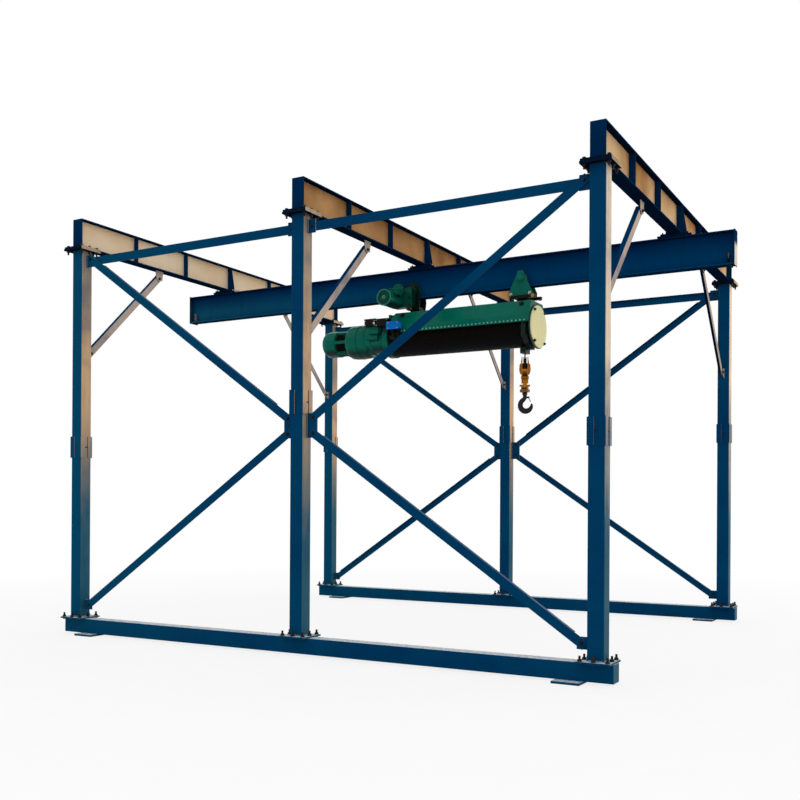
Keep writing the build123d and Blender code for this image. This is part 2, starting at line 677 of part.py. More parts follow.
idle = trolley_core(IDLE_X)
for s in (-1, 1):
    triangle = [
        (IDLE_X - IDLE_REACH, TIE_TOP), (IDLE_X + IDLE_REACH, TIE_TOP),
        (IDLE_X + IDLE_REACH, TIE_TOP + 1.2 * TIE_H), (IDLE_X + 0.35 * IDLE_REACH, PLATE_TOP - HORN_DROP),
        (IDLE_X + 0.22 * IDLE_REACH, PLATE_TOP), (IDLE_X - 0.22 * IDLE_REACH, PLATE_TOP),
        (IDLE_X - 0.35 * IDLE_REACH, PLATE_TOP - HORN_DROP), (IDLE_X - IDLE_REACH, TIE_TOP + 1.2 * TIE_H),
    ]
    idle += plate_xz(triangle, s * PLATE_Y0, s * PLATE_Y1)
    bar_y = PLATE_Y0 - PLATE_T / 3
    idle += block(
        IDLE_X - IDLE_BAR_IN, IDLE_X + IDLE_BAR_OUT, s * bar_y, s * (bar_y + IDLE_BAR_T), TIE_Z, TIE_TOP
    )
save("idle_trolley", idle)

for trolley, x in (("driving", DRIVE_X), ("idle", IDLE_X)):
    for name, side in SIDES.items():
        wheel = rod_y(x, side * WHEEL_Y0, side * WHEEL_Y1, WHEEL_Z, WHEEL_R)
        wheel -= rod_y(x, side * (WHEEL_Y0 - CUT), side * (WHEEL_Y1 + CUT), WHEEL_Z, AXLE_R + AXLE_ROOM)
        save(f"{trolley}_wheel_{name}", wheel)

# Hoist: trolley motor and its gear case, on the near side

GEAR_BACK = 200.0
GEAR_T = 120.0
GEAR_END = 90.0
GEAR_LOW = 90.0
GEAR_HIGH = 195.0
GEAR_FILLET = 38.0
GEAR_PAST = 40.0
GEAR_CAP_R = 92.0
GEAR_CAP_IN = 30.0
GEAR_CAP_OUT = 30.0
AXLE_CAP_R = 75.0
AXLE_CAP_OUT = 56.0
GEAR_RECESS_R = 60.0
MOTOR_RISE = -58.0
MOTOR_R = 102.0
MOTOR_L = 270.0
FAN_R = 115.0
FAN_L = 105.0
TERMINAL_W = 140.0
TERMINAL_L = 130.0
TERMINAL_OVER = 42.0
TERMINAL_IN = 60.0

GEAR_X = DRIVE_X - GEAR_BACK
MOTOR_Z = RUNWAY_Z + MOTOR_RISE
GEAR_Y = PLATE_Y1 + GEAR_T
FAN_Y = GEAR_Y + MOTOR_L
gear_x1 = DRIVE_X + GEAR_PAST
gear = block(
    GEAR_X - GEAR_END, gear_x1, -GEAR_Y, -PLATE_Y1, MOTOR_Z - GEAR_LOW, MOTOR_Z + GEAR_HIGH
)
gear = fillet(gear.edges().filter_by(Axis.Y), GEAR_FILLET)
gear += rod_y(GEAR_X + GEAR_CAP_IN, -GEAR_Y - GEAR_CAP_OUT, -PLATE_Y1, WHEEL_Z, GEAR_CAP_R)
gear += rod_y(DRIVE_X, -PLATE_Y1 - AXLE_CAP_OUT, -PLATE_Y1, WHEEL_Z, AXLE_CAP_R)
gear -= rod_y(DRIVE_X, -PLATE_Y1 - 2 * AXLE_OUT, -PLATE_Y1 + CUT, WHEEL_Z, GEAR_RECESS_R)
gear += rod_y(GEAR_X, -FAN_Y, -GEAR_Y + CUT, MOTOR_Z, MOTOR_R)
gear += rod_y(GEAR_X, -FAN_Y - FAN_L, -FAN_Y, MOTOR_Z, FAN_R)
terminal_y = GEAR_Y + GEAR_CAP_R
gear += block(
    GEAR_X - CUT, GEAR_X + TERMINAL_W - CUT, -terminal_y - TERMINAL_L, -terminal_y,
    MOTOR_Z + TERMINAL_IN, MOTOR_Z + MOTOR_R + TERMINAL_OVER,
)
save("trolley_motor", gear)

# Hoist: rope guide around the drum

HOOK_X = 1600.0
GUIDE_ROOM = 8.0
GUIDE_T = 21.0
GUIDE_RING_SHIFT = 92.0
GUIDE_HALF_X = 36.0
GUIDE_BOX_HALF_X = 42.0
GUIDE_BOX_HALF_Y = 80.0
GUIDE_BOX_H = 80.0
GUIDE_ARM_H = 30.0
GUIDE_BOX_UP = 20.0
GUIDE_POST_X = 30.0

guide_in = DRUM_R + GUIDE_ROOM
guide_out = guide_in + GUIDE_T
GUIDE_TOP = AXIS_Z - DRUM_R - GUIDE_BOX_UP
GUIDE_Z = GUIDE_TOP - GUIDE_BOX_H
guide_x = HOOK_X + GUIDE_RING_SHIFT
guide = rod_x(guide_x - GUIDE_HALF_X, guide_x + GUIDE_HALF_X, 0, AXIS_Z, guide_out)
guide -= rod_x(guide_x - 2 * GUIDE_HALF_X, guide_x + 2 * GUIDE_HALF_X, 0, AXIS_Z, guide_in)
guide += block(
    HOOK_X - GUIDE_BOX_HALF_X, HOOK_X + GUIDE_BOX_HALF_X, -GUIDE_BOX_HALF_Y, GUIDE_BOX_HALF_Y,
    GUIDE_Z, GUIDE_TOP,
)
# arm from the ring back to the block that the ropes run through
guide += block(
    HOOK_X, guide_x + GUIDE_HALF_X, -POST_HALF_Y, POST_HALF_Y, GUIDE_TOP - GUIDE_ARM_H, GUIDE_TOP
)
guide += block(
    guide_x - GUIDE_POST_X, guide_x + GUIDE_POST_X, -POST_HALF_Y, POST_HALF_Y,
    AXIS_Z + guide_in + GUIDE_T / 2, SHELL_TOP - SHELL_T,
)
save("rope_guide", guide)

# Hook block: sheave between two cheeks. Block, sheave and ropes hang turned about the lifting line.

BLOCK_TURN = 22.0
BLOCK_GAP = 50.0
CHEEK_UP = 130.0
CHEEK_DOWN = 230.0
CHEEK_HALF = 138.0
CHEEK_T = 12.0
SHEAVE_R = 132.0
SHEAVE_T = 44.0
GROOVE_R = 113.0
GROOVE_W = 26.0
HUB_R = 48.0
PIN_R = 30.0
PIN_OUT = 29.0
NUT_R = 46.0
NUT_T = 21.0
CHEEK_ROOM = 13.0
NECK_R = 30.0
NECK_DROP = 50.0
BAR_R = 14.0
BAR_HALF = 73.0
BAR_RISE = 17.0

SHEAVE_Z = GUIDE_Z - BLOCK_GAP - CHEEK_UP
NECK_Z = SHEAVE_Z - CHEEK_DOWN - NECK_DROP
cheek_x0 = SHEAVE_T / 2 + CHEEK_ROOM
cheek_x1 = cheek_x0 + CHEEK_T
right_edge = [
    (0.43 * CHEEK_HALF, SHEAVE_Z + CHEEK_UP), (0.93 * CHEEK_HALF, SHEAVE_Z + 0.62 * CHEEK_UP),
    (CHEEK_HALF, SHEAVE_Z - 0.09 * CHEEK_DOWN), (0.72 * CHEEK_HALF, SHEAVE_Z - 0.57 * CHEEK_DOWN),
    (0.35 * CHEEK_HALF, SHEAVE_Z - CHEEK_DOWN),
]
cheek = right_edge + [(-y, z) for y, z in reversed(right_edge)]
case = plate_yz(cheek, HOOK_X - cheek_x1, HOOK_X - cheek_x0)
case += plate_yz(cheek, HOOK_X + cheek_x0, HOOK_X + cheek_x1)
case += rod_x(HOOK_X - cheek_x1 - PIN_OUT, HOOK_X + cheek_x1 + PIN_OUT, 0, SHEAVE_Z, PIN_R)
for s in (-1, 1):
    case += rod_x(HOOK_X + s * cheek_x1, HOOK_X + s * (cheek_x1 + NUT_T), 0, SHEAVE_Z, NUT_R)
neck_top = SHEAVE_Z - CHEEK_DOWN
case += block(
    HOOK_X - cheek_x0 - 1, HOOK_X + cheek_x0 + 1, -1.13 * NECK_R, 1.13 * NECK_R,
    neck_top + CUT, neck_top + 1.4 * NECK_DROP,
)
case += block(HOOK_X - NECK_R, HOOK_X + NECK_R, -0.87 * NECK_R, 0.87 * NECK_R, NECK_Z, neck_top + 2 * CUT)
case += rod_x(HOOK_X - BAR_HALF, HOOK_X + BAR_HALF, 0, NECK_Z + BAR_RISE, BAR_R)
turn = Pos(HOOK_X, 0, 0) * Rot(0, 0, BLOCK_TURN) * Pos(-HOOK_X, 0, 0)
save("hook_block", turn * case)

sheave = rod_x(HOOK_X - SHEAVE_T / 2, HOOK_X + SHEAVE_T / 2, 0, SHEAVE_Z, SHEAVE_R)
groove = rod_x(HOOK_X - GROOVE_W / 2, HOOK_X + GROOVE_W / 2, 0, SHEAVE_Z, SHEAVE_R + CUT)
groove -= rod_x(HOOK_X - GROOVE_W, HOOK_X + GROOVE_W, 0, SHEAVE_Z, GROOVE_R)
sheave -= groove
sheave += rod_x(HOOK_X - cheek_x0, HOOK_X + cheek_x0, 0, SHEAVE_Z, HUB_R)
sheave -= rod_x(HOOK_X - cheek_x0 - CUT, HOOK_X + cheek_x0 + CUT, 0, SHEAVE_Z, PIN_R)
save("rope_sheave", turn * sheave)

# The two rope falls leave the sheave at a lean, up to the rope guide

ROPE_R = 9.0
ROPE_SEAT = 0.5
LEAN = 20.0

falls = []
for s in (-1, 1):
    r = GROOVE_R + ROPE_R + ROPE_SEAT
    y0 = s * r * cos(radians(LEAN))
    z0 = SHEAVE_Z + r * sin(radians(LEAN))
    z1 = GUIDE_Z + 2 * ROPE_R
    y1 = y0 - s * (z1 - z0) * tan(radians(LEAN))
    path = Line((HOOK_X, y0, z0), (HOOK_X, y1, z1))
    fall = sweep(Plane(origin=path @ 0, z_dir=path % 0) * Circle(ROPE_R), path)
    fall -= block(HOOK_X - SHEAVE_R, HOOK_X + SHEAVE_R, -2 * r, 2 * r, GUIDE_Z, GUIDE_TOP)
    falls.append(turn * fall)
save("rope_falls", Compound(falls))

# Crosshead under the block, a strap round a bored plate

CROSSHEAD_HALF_X = 62.0
CROSSHEAD_HALF_Y = 48.0
CROSSHEAD_T = 38.0
CROSSHEAD_CORNER = 20.0
STRAP_H = 36.0
STRAP_T = 14.0
STRAP_HALF = 46.0
STRAP_W = 26.0
SHANK_R = 22.0
SHANK_ROOM = 0.5

crosshead_top = NECK_Z - STRAP_H
crosshead_z = crosshead_top - CROSSHEAD_T
crosshead = block(
    HOOK_X - CROSSHEAD_HALF_X, HOOK_X + CROSSHEAD_HALF_X, -CROSSHEAD_HALF_Y, CROSSHEAD_HALF_Y,
    crosshead_z, crosshead_top,
)
crosshead = fillet(crosshead.edges().filter_by(Axis.Z), CROSSHEAD_CORNER)
for s in (-1, 1):
    crosshead += block(
        HOOK_X + s * (STRAP_HALF - STRAP_T), HOOK_X + s * STRAP_HALF, -STRAP_W, STRAP_W,
        crosshead_top - 1, NECK_Z,
    )
crosshead += block(
    HOOK_X - STRAP_HALF, HOOK_X + STRAP_HALF, -STRAP_W, STRAP_W, NECK_Z - 0.7 * STRAP_T, NECK_Z
)
crosshead -= rod_z(HOOK_X, 0, crosshead_z - CUT, crosshead_top + CUT, SHANK_R + SHANK_ROOM)
save("hook_crosshead", crosshead)

# Hook on its swivel shank, and the latch in its mouth

HOOK_R = 112.0
HOOK_HALF = 27.0
HOOK_SHIFT = 14.0
EYE_R = 54.0
EYE_SHIFT = 8.0
EYE_RISE = 10.0
SHOULDER_GAP = 5.0
SHOULDER_R = 36.0
SHOULDER_H = 31.0
SHOULDER_SET = 5.0
NECK_H = 73.0
NECK_HALF = 29.0
SHANK_NUT_R = 29.0
SHANK_NUT_H = 17.0
LATCH_SHIFT = 54.0
LATCH_DROP = 43.0
LATCH_L = 74.0
LATCH_T = 13.0
LATCH_HALF = 9.0
LATCH_PIN_R = 5.0
LATCH_ROOM = 0.5
EAR_T = 6.0
EAR_ROOM = 3.0

shoulder_top = crosshead_z - SHOULDER_GAP
neck_top = shoulder_top - SHOULDER_H + SHOULDER_SET
neck_z = neck_top - NECK_H
hook_z = neck_z + 0.286 * HOOK_R - HOOK_R
ring_x = HOOK_X + HOOK_SHIFT
eye_x = ring_x + EYE_SHIFT
eye_z = hook_z + EYE_RISE
hook = rod_y(ring_x, -HOOK_HALF, HOOK_HALF, hook_z, HOOK_R)
hook -= rod_y(eye_x, -2 * HOOK_HALF, 2 * HOOK_HALF, eye_z, EYE_R)
far_x = ring_x + 2 * HOOK_R
far_z = hook_z + 2 * HOOK_R
mouth_x = eye_x + 0.185 * EYE_R
mouth = [
    (mouth_x, eye_z + 0.185 * EYE_R), (far_x, eye_z + 0.55 * EYE_R), (far_x, far_z), (mouth_x, far_z)
]
hook -= plate_xz(mouth, -2 * HOOK_HALF, 2 * HOOK_HALF)
neck_x = HOOK_X + 0.1 * NECK_HALF
hook += block(neck_x - NECK_HALF, neck_x + NECK_HALF, -HOOK_HALF, HOOK_HALF, neck_z, neck_top)
hook += rod_z(HOOK_X, 0, neck_top - SHOULDER_SET, shoulder_top, SHOULDER_R)
nut_z = crosshead_top + SHOULDER_GAP
hook += rod_z(HOOK_X, 0, shoulder_top - CUT, nut_z + CUT, SHANK_R)
hook += rod_z(HOOK_X, 0, nut_z, nut_z + SHANK_NUT_H, SHANK_NUT_R)

# ears and pin that carry the latch
latch_x = HOOK_X + LATCH_SHIFT
latch_z = neck_top - LATCH_DROP
ear_y = LATCH_HALF + EAR_ROOM
for s in (-1, 1):
    hook += block(
        HOOK_X + CUT, latch_x + 2.4 * LATCH_PIN_R, s * ear_y, s * (ear_y + EAR_T),
        latch_z - 2.4 * LATCH_PIN_R, latch_z + 2.4 * LATCH_PIN_R,
    )
hook += rod_y(latch_x, -ear_y - EAR_T, ear_y + EAR_T, latch_z, LATCH_PIN_R)
save("load_hook", hook)

# the latch hangs from its pin, leaning out to the tip of the hook
lean_x = 0.46
lean_z = -0.888
head = 0.12 * LATCH_L
tail = 0.95 * LATCH_L
half_t = LATCH_T / 2
side_x = -lean_z * half_t
side_z = lean_x * half_t
latch = plate_xz(
    [
        (latch_x - lean_x * head - side_x, latch_z - lean_z * head - side_z),
        (latch_x - lean_x * head + side_x, latch_z - lean_z * head + side_z),
        (latch_x + lean_x * tail + side_x, latch_z + lean_z * tail + side_z),
        (latch_x + lean_x * tail - side_x, latch_z + lean_z * tail - side_z),
    ],
    -LATCH_HALF, LATCH_HALF,
)
latch -= rod_y(latch_x, -ear_y, ear_y, latch_z, LATCH_PIN_R + LATCH_ROOM)
save("hook_latch", latch)
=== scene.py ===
# %% [markdown]
# # A blue gantry with a green wire-rope hoist
# The imported model comes in first and stays where it is: it is the frame that every later piece is
# set against. The dressed model may not grow past it. The boxes of its nodes give the main places used
# below, such as the column lines and the drum's axis.

# %% Load the frame
import json
import math

import bmesh
import bpy
from mathutils import Matrix, Vector


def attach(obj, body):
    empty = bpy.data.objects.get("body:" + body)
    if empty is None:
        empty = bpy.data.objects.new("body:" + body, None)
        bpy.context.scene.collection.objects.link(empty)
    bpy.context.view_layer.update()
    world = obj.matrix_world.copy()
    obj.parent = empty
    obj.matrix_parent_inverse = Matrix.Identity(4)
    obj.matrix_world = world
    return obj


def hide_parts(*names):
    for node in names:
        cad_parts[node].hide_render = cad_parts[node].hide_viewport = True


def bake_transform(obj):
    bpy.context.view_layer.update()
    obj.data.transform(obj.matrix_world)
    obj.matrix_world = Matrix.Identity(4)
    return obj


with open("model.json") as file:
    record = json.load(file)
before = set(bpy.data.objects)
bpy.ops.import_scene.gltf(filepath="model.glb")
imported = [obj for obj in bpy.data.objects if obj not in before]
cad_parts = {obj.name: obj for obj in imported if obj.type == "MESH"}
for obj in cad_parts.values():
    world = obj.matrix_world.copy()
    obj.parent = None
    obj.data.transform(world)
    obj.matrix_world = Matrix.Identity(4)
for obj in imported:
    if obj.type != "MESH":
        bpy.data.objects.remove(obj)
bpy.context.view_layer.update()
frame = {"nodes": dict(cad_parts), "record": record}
nodes = frame["nodes"]
scene = bpy.context.scene
scene.view_settings.view_transform = "Standard"


def node_box(name):
    """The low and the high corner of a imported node, to a tenth of a millimetre."""
    points = [vert.co for vert in nodes[name].data.vertices]
    return [[round(pick(p[k] for p in points), 4) for k in range(3)] for pick in (min, max)]


def node_middle(name):
    low, high = node_box(name)
    return [round((a + b) / 2, 4) for a, b in zip(low, high)]


BAY, ROW_Y, _ = node_middle("far_right_column")
COLUMNS_X = (-BAY, 0.0, BAY)
SIDES_Y = (-ROW_Y, ROW_Y)
COLUMN_HALF = round(node_box("far_right_column")[1][0] - BAY, 4)

# %% [markdown]
# ## Camera
# The photograph was taken from a little above eye height, off the right-hand end, with the uprights
# kept nearly parallel. A level camera with a little upward shift does the same, where a tilted one
# would make the columns lean together.

# %% Camera
IMAGE_PX = 800
FOCAL_PX = 976.5
CENTRE_PX = (413.7, 500.24)
SENSOR_MM = 36.0
CAMERA_AT = (6.8123, -12.6042, 1.8243)
CAMERA_AHEAD = (-0.48365333, 0.87525761, 0.00189231)
CAMERA_RIGHT = (0.87525013, 0.48363685, 0.00570973)
VIEW_DEPTH = 200.0

camera_data = bpy.data.cameras.new("camera")
camera_data.sensor_fit = "HORIZONTAL"
camera_data.sensor_width = SENSOR_MM
camera_data.lens = FOCAL_PX * SENSOR_MM / IMAGE_PX
camera_data.shift_x = (IMAGE_PX / 2 - CENTRE_PX[0]) / IMAGE_PX
camera_data.shift_y = (CENTRE_PX[1] - IMAGE_PX / 2) / IMAGE_PX
camera_data.clip_end = VIEW_DEPTH
camera = bpy.data.objects.new("camera", camera_data)
scene.collection.objects.link(camera)
ahead = Vector(CAMERA_AHEAD).normalized()
over = Vector(CAMERA_RIGHT).normalized().cross(ahead).normalized()
turn = Matrix((ahead.cross(over), over, -ahead)).transposed()
camera.matrix_world = Matrix.Translation(CAMERA_AT) @ turn.to_4x4()
scene.camera = camera
shift = (round(camera_data.shift_x, 4), round(camera_data.shift_y, 4))
print("lens", round(camera_data.lens, 2), "shift", shift)

# %% [markdown]
# ## Node helpers
# Every finish is a small tree of nodes, and written out node by node it would be long. Each helper
# adds one kind of node, sets or wires its inputs, and hands back the socket that the next one needs,
# so a mask reads like a sum.


# %% Node helpers
def add_node(tree, kind, inputs=None, **settings):
    """Adds a node; an input is a plain value, or an output socket to wire from."""
    node = tree.nodes.new(kind)
    for key, value in settings.items():
        setattr(node, key, value)
    for key, value in (inputs or {}).items():
        if isinstance(value, bpy.types.NodeSocket):
            tree.links.new(value, node.inputs[key])
        else:
            node.inputs[key].default_value = value
    return node


def new_group(name, inputs, outputs):
    """Starts a shader group; inputs are (name, kind, default), outputs are (name, kind)."""
    group = bpy.data.node_groups.new(name, "ShaderNodeTree")
    for label, kind, default in inputs:
        socket = group.interface.new_socket(label, in_out="INPUT", socket_type=kind)
        socket.default_value = default
    for label, kind in outputs:
        group.interface.new_socket(label, in_out="OUTPUT", socket_type=kind)
    return group, group.nodes.new("NodeGroupInput"), group.nodes.new("NodeGroupOutput")


def mix_colour(tree, factor, a, b):
    return add_node(tree, "ShaderNodeMix", {0: factor, 6: a, 7: b}, data_type="RGBA").outputs[2]


def maths(tree, operation, a, b=0.0, clamp=False):
    return add_node(tree, "ShaderNodeMath", {0: a, 1: b}, operation=operation, use_clamp=clamp).outputs[0]


def times(tree, a, b):
    return maths(tree, "MULTIPLY", a, b)


def ramp(tree, value, low, high, start=0.0, end=1.0):
    """A value that goes from start to end while another goes from low to high, and stays there."""
    limits = {"From Min": low, "From Max": high, "To Min": start, "To Max": end}
    return add_node(tree, "ShaderNodeMapRange", {"Value": value, **limits}, clamp=True).outputs["Result"]


def noise(tree, place, scale, detail, roughness=0.5):
    inputs = {"Vector": place, "Scale": scale, "Detail": detail, "Roughness": roughness}
    return add_node(tree, "ShaderNodeTexNoise", inputs).outputs["Fac"]


def object_place(tree):
    return add_node(tree, "ShaderNodeTexCoord").outputs["Object"]


def split(tree, vector):
    return add_node(tree, "ShaderNodeSeparateXYZ", {"Vector": vector}).outputs


def srgb(r, g, b):
    """A colour as read on a screen, 0 to 255, turned into the linear values that Blender mixes."""
    line = []
    for part in (r, g, b):
        c = part / 255
        line.append(c / 12.92 if c <= 0.04045 else ((c + 0.055) / 1.055) ** 2.4)
    return (*line, 1.0)


# %% [markdown]
# ## The ageing group
# Shop paint on steel is never one colour: it fades in broad clouds, rain draws streaks down the
# upright faces, dust settles on what faces up, and edges lose their paint first. The group also paints
# light and shade into the colour: a warm sunlit sheen on the faces turned to the right-hand end, a pale
# sky sheen with the dust on the frame's tops, and a near-black shade on what faces down. One group
# makes all of these from the object's own coordinates, so each material only picks its colours and amounts.
# Edges are found by comparing the true normal with a rounded one, which works on any mesh.

# %% Ageing group: sockets
COLOUR, NUMBER = "NodeSocketColor", "NodeSocketFloat"
ageing, ageing_in, ageing_out = new_group(
    "painted_steel_ageing",
    [
        ("Paint", COLOUR, (0.1, 0.1, 0.1, 1)),
        ("Faded", COLOUR, (0.2, 0.2, 0.2, 1)),
        ("Streak", COLOUR, (0.3, 0.2, 0.1, 1)),
        ("Dust And Sheen", COLOUR, (0.4, 0.36, 0.3, 1)),
        ("Bare", COLOUR, (0.25, 0.2, 0.16, 1)),
        ("Painted Sheen", COLOUR, (0.6, 0.45, 0.3, 1)),
        ("Fade Amount", NUMBER, 0.5),
        ("Streak Amount", NUMBER, 0.3),
        ("Dust And Sheen Amount", NUMBER, 0.4),
        ("Edge Amount", NUMBER, 0.4),
        ("Painted Sheen Amount", NUMBER, 0.0),
        ("Painted Sheen Paling", NUMBER, 0.0),
        ("Gloss Low", NUMBER, 0.25),
        ("Gloss High", NUMBER, 0.45),
    ],
    [("Colour", COLOUR), ("Roughness", NUMBER), ("Height", NUMBER)],
)
given = ageing_in.outputs

# %% Ageing group: masks of fading, streaks, dust and worn edges
WORN_RADIUS = 0.006
RUN_STRETCH = (9.0, 9.0, 0.55)
where = object_place(ageing)
clouds = noise(ageing, where, 1.1, 5.0, 0.6)
drawn_down = add_node(ageing, "ShaderNodeMapping", {"Vector": where, "Scale": RUN_STRETCH}).outputs[0]
runs = noise(ageing, drawn_down, 1.6, 6.0, 0.65)
specks = noise(ageing, where, 34.0, 4.0, 0.7)
peel = noise(ageing, where, 260.0, 2.0)
normal = add_node(ageing, "ShaderNodeNewGeometry").outputs["Normal"]
facing = split(ageing, normal)
rounded = add_node(ageing, "ShaderNodeBevel", {"Radius": WORN_RADIUS}, samples=4).outputs["Normal"]
agree = add_node(ageing, "ShaderNodeVectorMath", {0: normal, 1: rounded}, operation="DOT_PRODUCT")
edge = times(ageing, ramp(ageing, agree.outputs["Value"], 0.985, 0.8), ramp(ageing, specks, 0.46, 0.62))
# Up-facing faces take the dust tone; on the frame it is also a painted sky sheen.
faces_up = times(ageing, ramp(ageing, facing["Z"], 0.76, 0.94), ramp(ageing, specks, 0.2, 0.62))

fade = times(ageing, ramp(ageing, clouds, 0.36, 0.68), given["Fade Amount"])
streak = times(ageing, ramp(ageing, runs, 0.52, 0.78), given["Streak Amount"])
dust_and_sheen = times(ageing, faces_up, given["Dust And Sheen Amount"])
worn = times(ageing, edge, given["Edge Amount"])
# Faces turned down get a painted shade, near black.
painted_shade_below = times(ageing, ramp(ageing, facing["Z"], -0.4, -0.7), 0.8)
print("masks", len(ageing.nodes), "nodes")

# %% [markdown]
# ### Painted sunlit sheen
# The faces of the frame that are turned to the open right-hand end get a painted sheen that stands for
# warm low sunlight reflected off the paint: strong and tan in the upper half, weak and blue-grey below,
# paler to the right and greyer high up. It could be a material of its own on those faces, but a mask
# from the normal keeps one paint for the whole frame.

# %% Ageing group: the painted sunlit sheen
LOW_SHEEN, GREY_SHEEN, PALE_SHEEN = srgb(68, 112, 122), srgb(166, 152, 138), srgb(244, 230, 208)
spot = split(ageing, where)
wander = times(ageing, maths(ageing, "SUBTRACT", runs, 0.5), 1.6)
upper = ramp(ageing, maths(ageing, "ADD", spot["Z"], wander), 1.5, 3.2)
to_the_right = ramp(ageing, spot["X"], 0.5, 3.9)
paler = times(ageing, to_the_right, given["Painted Sheen Paling"])
high_up = times(ageing, ramp(ageing, spot["Z"], 3.9, 4.7), given["Painted Sheen Paling"])
greyer = times(ageing, high_up, maths(ageing, "SUBTRACT", 1.0, to_the_right))
greyed = mix_colour(ageing, greyer, given["Painted Sheen"], GREY_SHEEN)
high_tone = mix_colour(ageing, paler, greyed, PALE_SHEEN)
sheen_tone = mix_colour(ageing, upper, LOW_SHEEN, high_tone)
# The mask picks the faces turned to +X for the painted sunlit sheen; thick is its strength.
turned_out = ramp(ageing, facing["X"], 0.6, 0.95)
thick = times(ageing, turned_out, ramp(ageing, upper, 0.0, 1.0, 0.6, 1.0))
patchy = times(ageing, ramp(ageing, clouds, 0.36, 0.54, 0.55, 1.0), ramp(ageing, runs, -0.4, 0.45))
painted_sheen = times(ageing, times(ageing, thick, given["Painted Sheen Amount"]), patchy)
print("with the film", len(ageing.nodes), "nodes")

# %% [markdown]
# ### Layers
# The layers go on in this order: paint and its fading, the painted sunlit sheen, streaks, dust (on the
# frame also a painted sky sheen), bare edges, and last a painted shade, near black, on everything that
# faces down. Dust and wear also take the gloss away, and the paint has a faint peel.

# %% Ageing group: layers, from the paint outwards
# Near black for the painted shade on faces turned down.
SHADE_BELOW = srgb(4, 8, 16)
colour = mix_colour(ageing, fade, given["Paint"], given["Faded"])
for mask, tone in (
    (painted_sheen, sheen_tone),
    (streak, given["Streak"]),
    (dust_and_sheen, given["Dust And Sheen"]),
    (worn, given["Bare"]),
    (painted_shade_below, SHADE_BELOW),
):
    colour = mix_colour(ageing, mask, colour, tone)
dull = maths(ageing, "ADD", times(ageing, dust_and_sheen, 1.2), times(ageing, worn, 0.6))
blotch = maths(ageing, "ADD", times(ageing, clouds, 0.6), times(ageing, specks, 0.4))
matt = maths(ageing, "ADD", blotch, dull, clamp=True)
gloss = ramp(ageing, matt, 0.3, 0.9, given["Gloss Low"], given["Gloss High"])
height = maths(ageing, "SUBTRACT", times(ageing, peel, 0.35), worn)
for label, value in (("Colour", colour), ("Roughness", gloss), ("Height", height)):
    ageing.links.new(value, ageing_out.inputs[label])
print("ageing group", len(ageing.nodes), "nodes")

# %% [markdown]
# ## Finishes
# Each finish is one Principled shader fed by the ageing group. The frame is a deep blue oil paint,
# the hoist a blue-green enamel, the drum end a pale yellow disc that is a painted sunlit sheen on green,
# and the hook block ochre. The frame's paints mirror almost nothing, because a pale floor mirrored in
# them would turn the undersides grey.


# %% Finish helper
BUMP_STRENGTH, BUMP_DEPTH = 0.06, 0.001
TONES = ("Paint", "Faded", "Streak", "Dust And Sheen", "Bare")
AMOUNTS = ("Fade Amount", "Streak Amount", "Dust And Sheen Amount", "Edge Amount")


def aged(
    name, tones, amounts, gloss, metal=0.0, specular=0.5, painted_sheen=None, painted_sheen_amount=0.0, painted_sheen_paling=0.0
):
    """A material from the ageing group; tones and amounts come in the order of the lists above."""
    material = bpy.data.materials.new(name)
    material.use_nodes = True
    tree = material.node_tree
    shader = tree.nodes["Principled BSDF"]
    values = dict(zip(TONES, (srgb(*tone) for tone in tones)))
    values.update(zip(AMOUNTS, amounts))
    values.update({"Painted Sheen Amount": painted_sheen_amount, "Painted Sheen Paling": painted_sheen_paling})
    values.update({"Gloss Low": gloss[0], "Gloss High": gloss[1]})
    if painted_sheen:
        values["Painted Sheen"] = srgb(*painted_sheen)
    group = add_node(tree, "ShaderNodeGroup", node_tree=ageing)
    for label, value in values.items():
        group.inputs[label].default_value = value
    raised = add_node(
        tree,
        "ShaderNodeBump",
        {"Height": group.outputs["Height"], "Strength": BUMP_STRENGTH, "Distance": BUMP_DEPTH},
    )
    tree.links.new(group.outputs["Colour"], shader.inputs["Base Color"])
    tree.links.new(group.outputs["Roughness"], shader.inputs["Roughness"])
    tree.links.new(raised.outputs["Normal"], shader.inputs["Normal"])
    shader.inputs["Metallic"].default_value = metal
    shader.inputs["Specular IOR Level"].default_value = specular
    return material


# %% Paints of the frame
# The frame's near-white dust tone is real dust and also a painted sky sheen on the tops.
PALE_DUST_AND_SKY_SHEEN, BARE_STEEL = (214, 222, 226), (112, 108, 100)
frame_blue = aged(
    "frame_blue", [(0, 58, 100), (0, 76, 112), (4, 62, 86), PALE_DUST_AND_SKY_SHEEN, BARE_STEEL],
    (0.6, 0.4, 0.4, 0.3), (0.3, 0.5), specular=0.01,
    painted_sheen=(222, 184, 142), painted_sheen_amount=0.95, painted_sheen_paling=0.75,
)
knee_blue = aged(
    "knee_blue", [(0, 52, 98), (0, 70, 112), (60, 80, 96), PALE_DUST_AND_SKY_SHEEN, BARE_STEEL],
    (0.6, 0.2, 0.3, 0.3), (0.3, 0.5), specular=0.0, painted_sheen=(208, 188, 170), painted_sheen_amount=0.92,
)
plate_dark = aged(
    "plate_dark", [(2, 22, 44), (4, 36, 62), (40, 34, 30), PALE_DUST_AND_SKY_SHEEN, (90, 84, 78)],
    (0.6, 0.5, 0.6, 0.4), (0.35, 0.55), specular=0.0, painted_sheen=(222, 196, 166), painted_sheen_amount=0.8,
)
beam_blue = aged(
    "beam_blue", [(0, 40, 78), (0, 54, 94), (4, 30, 54), PALE_DUST_AND_SKY_SHEEN, BARE_STEEL],
    (0.6, 0.06, 0.4, 0.3), (0.35, 0.55), specular=0.0,
)
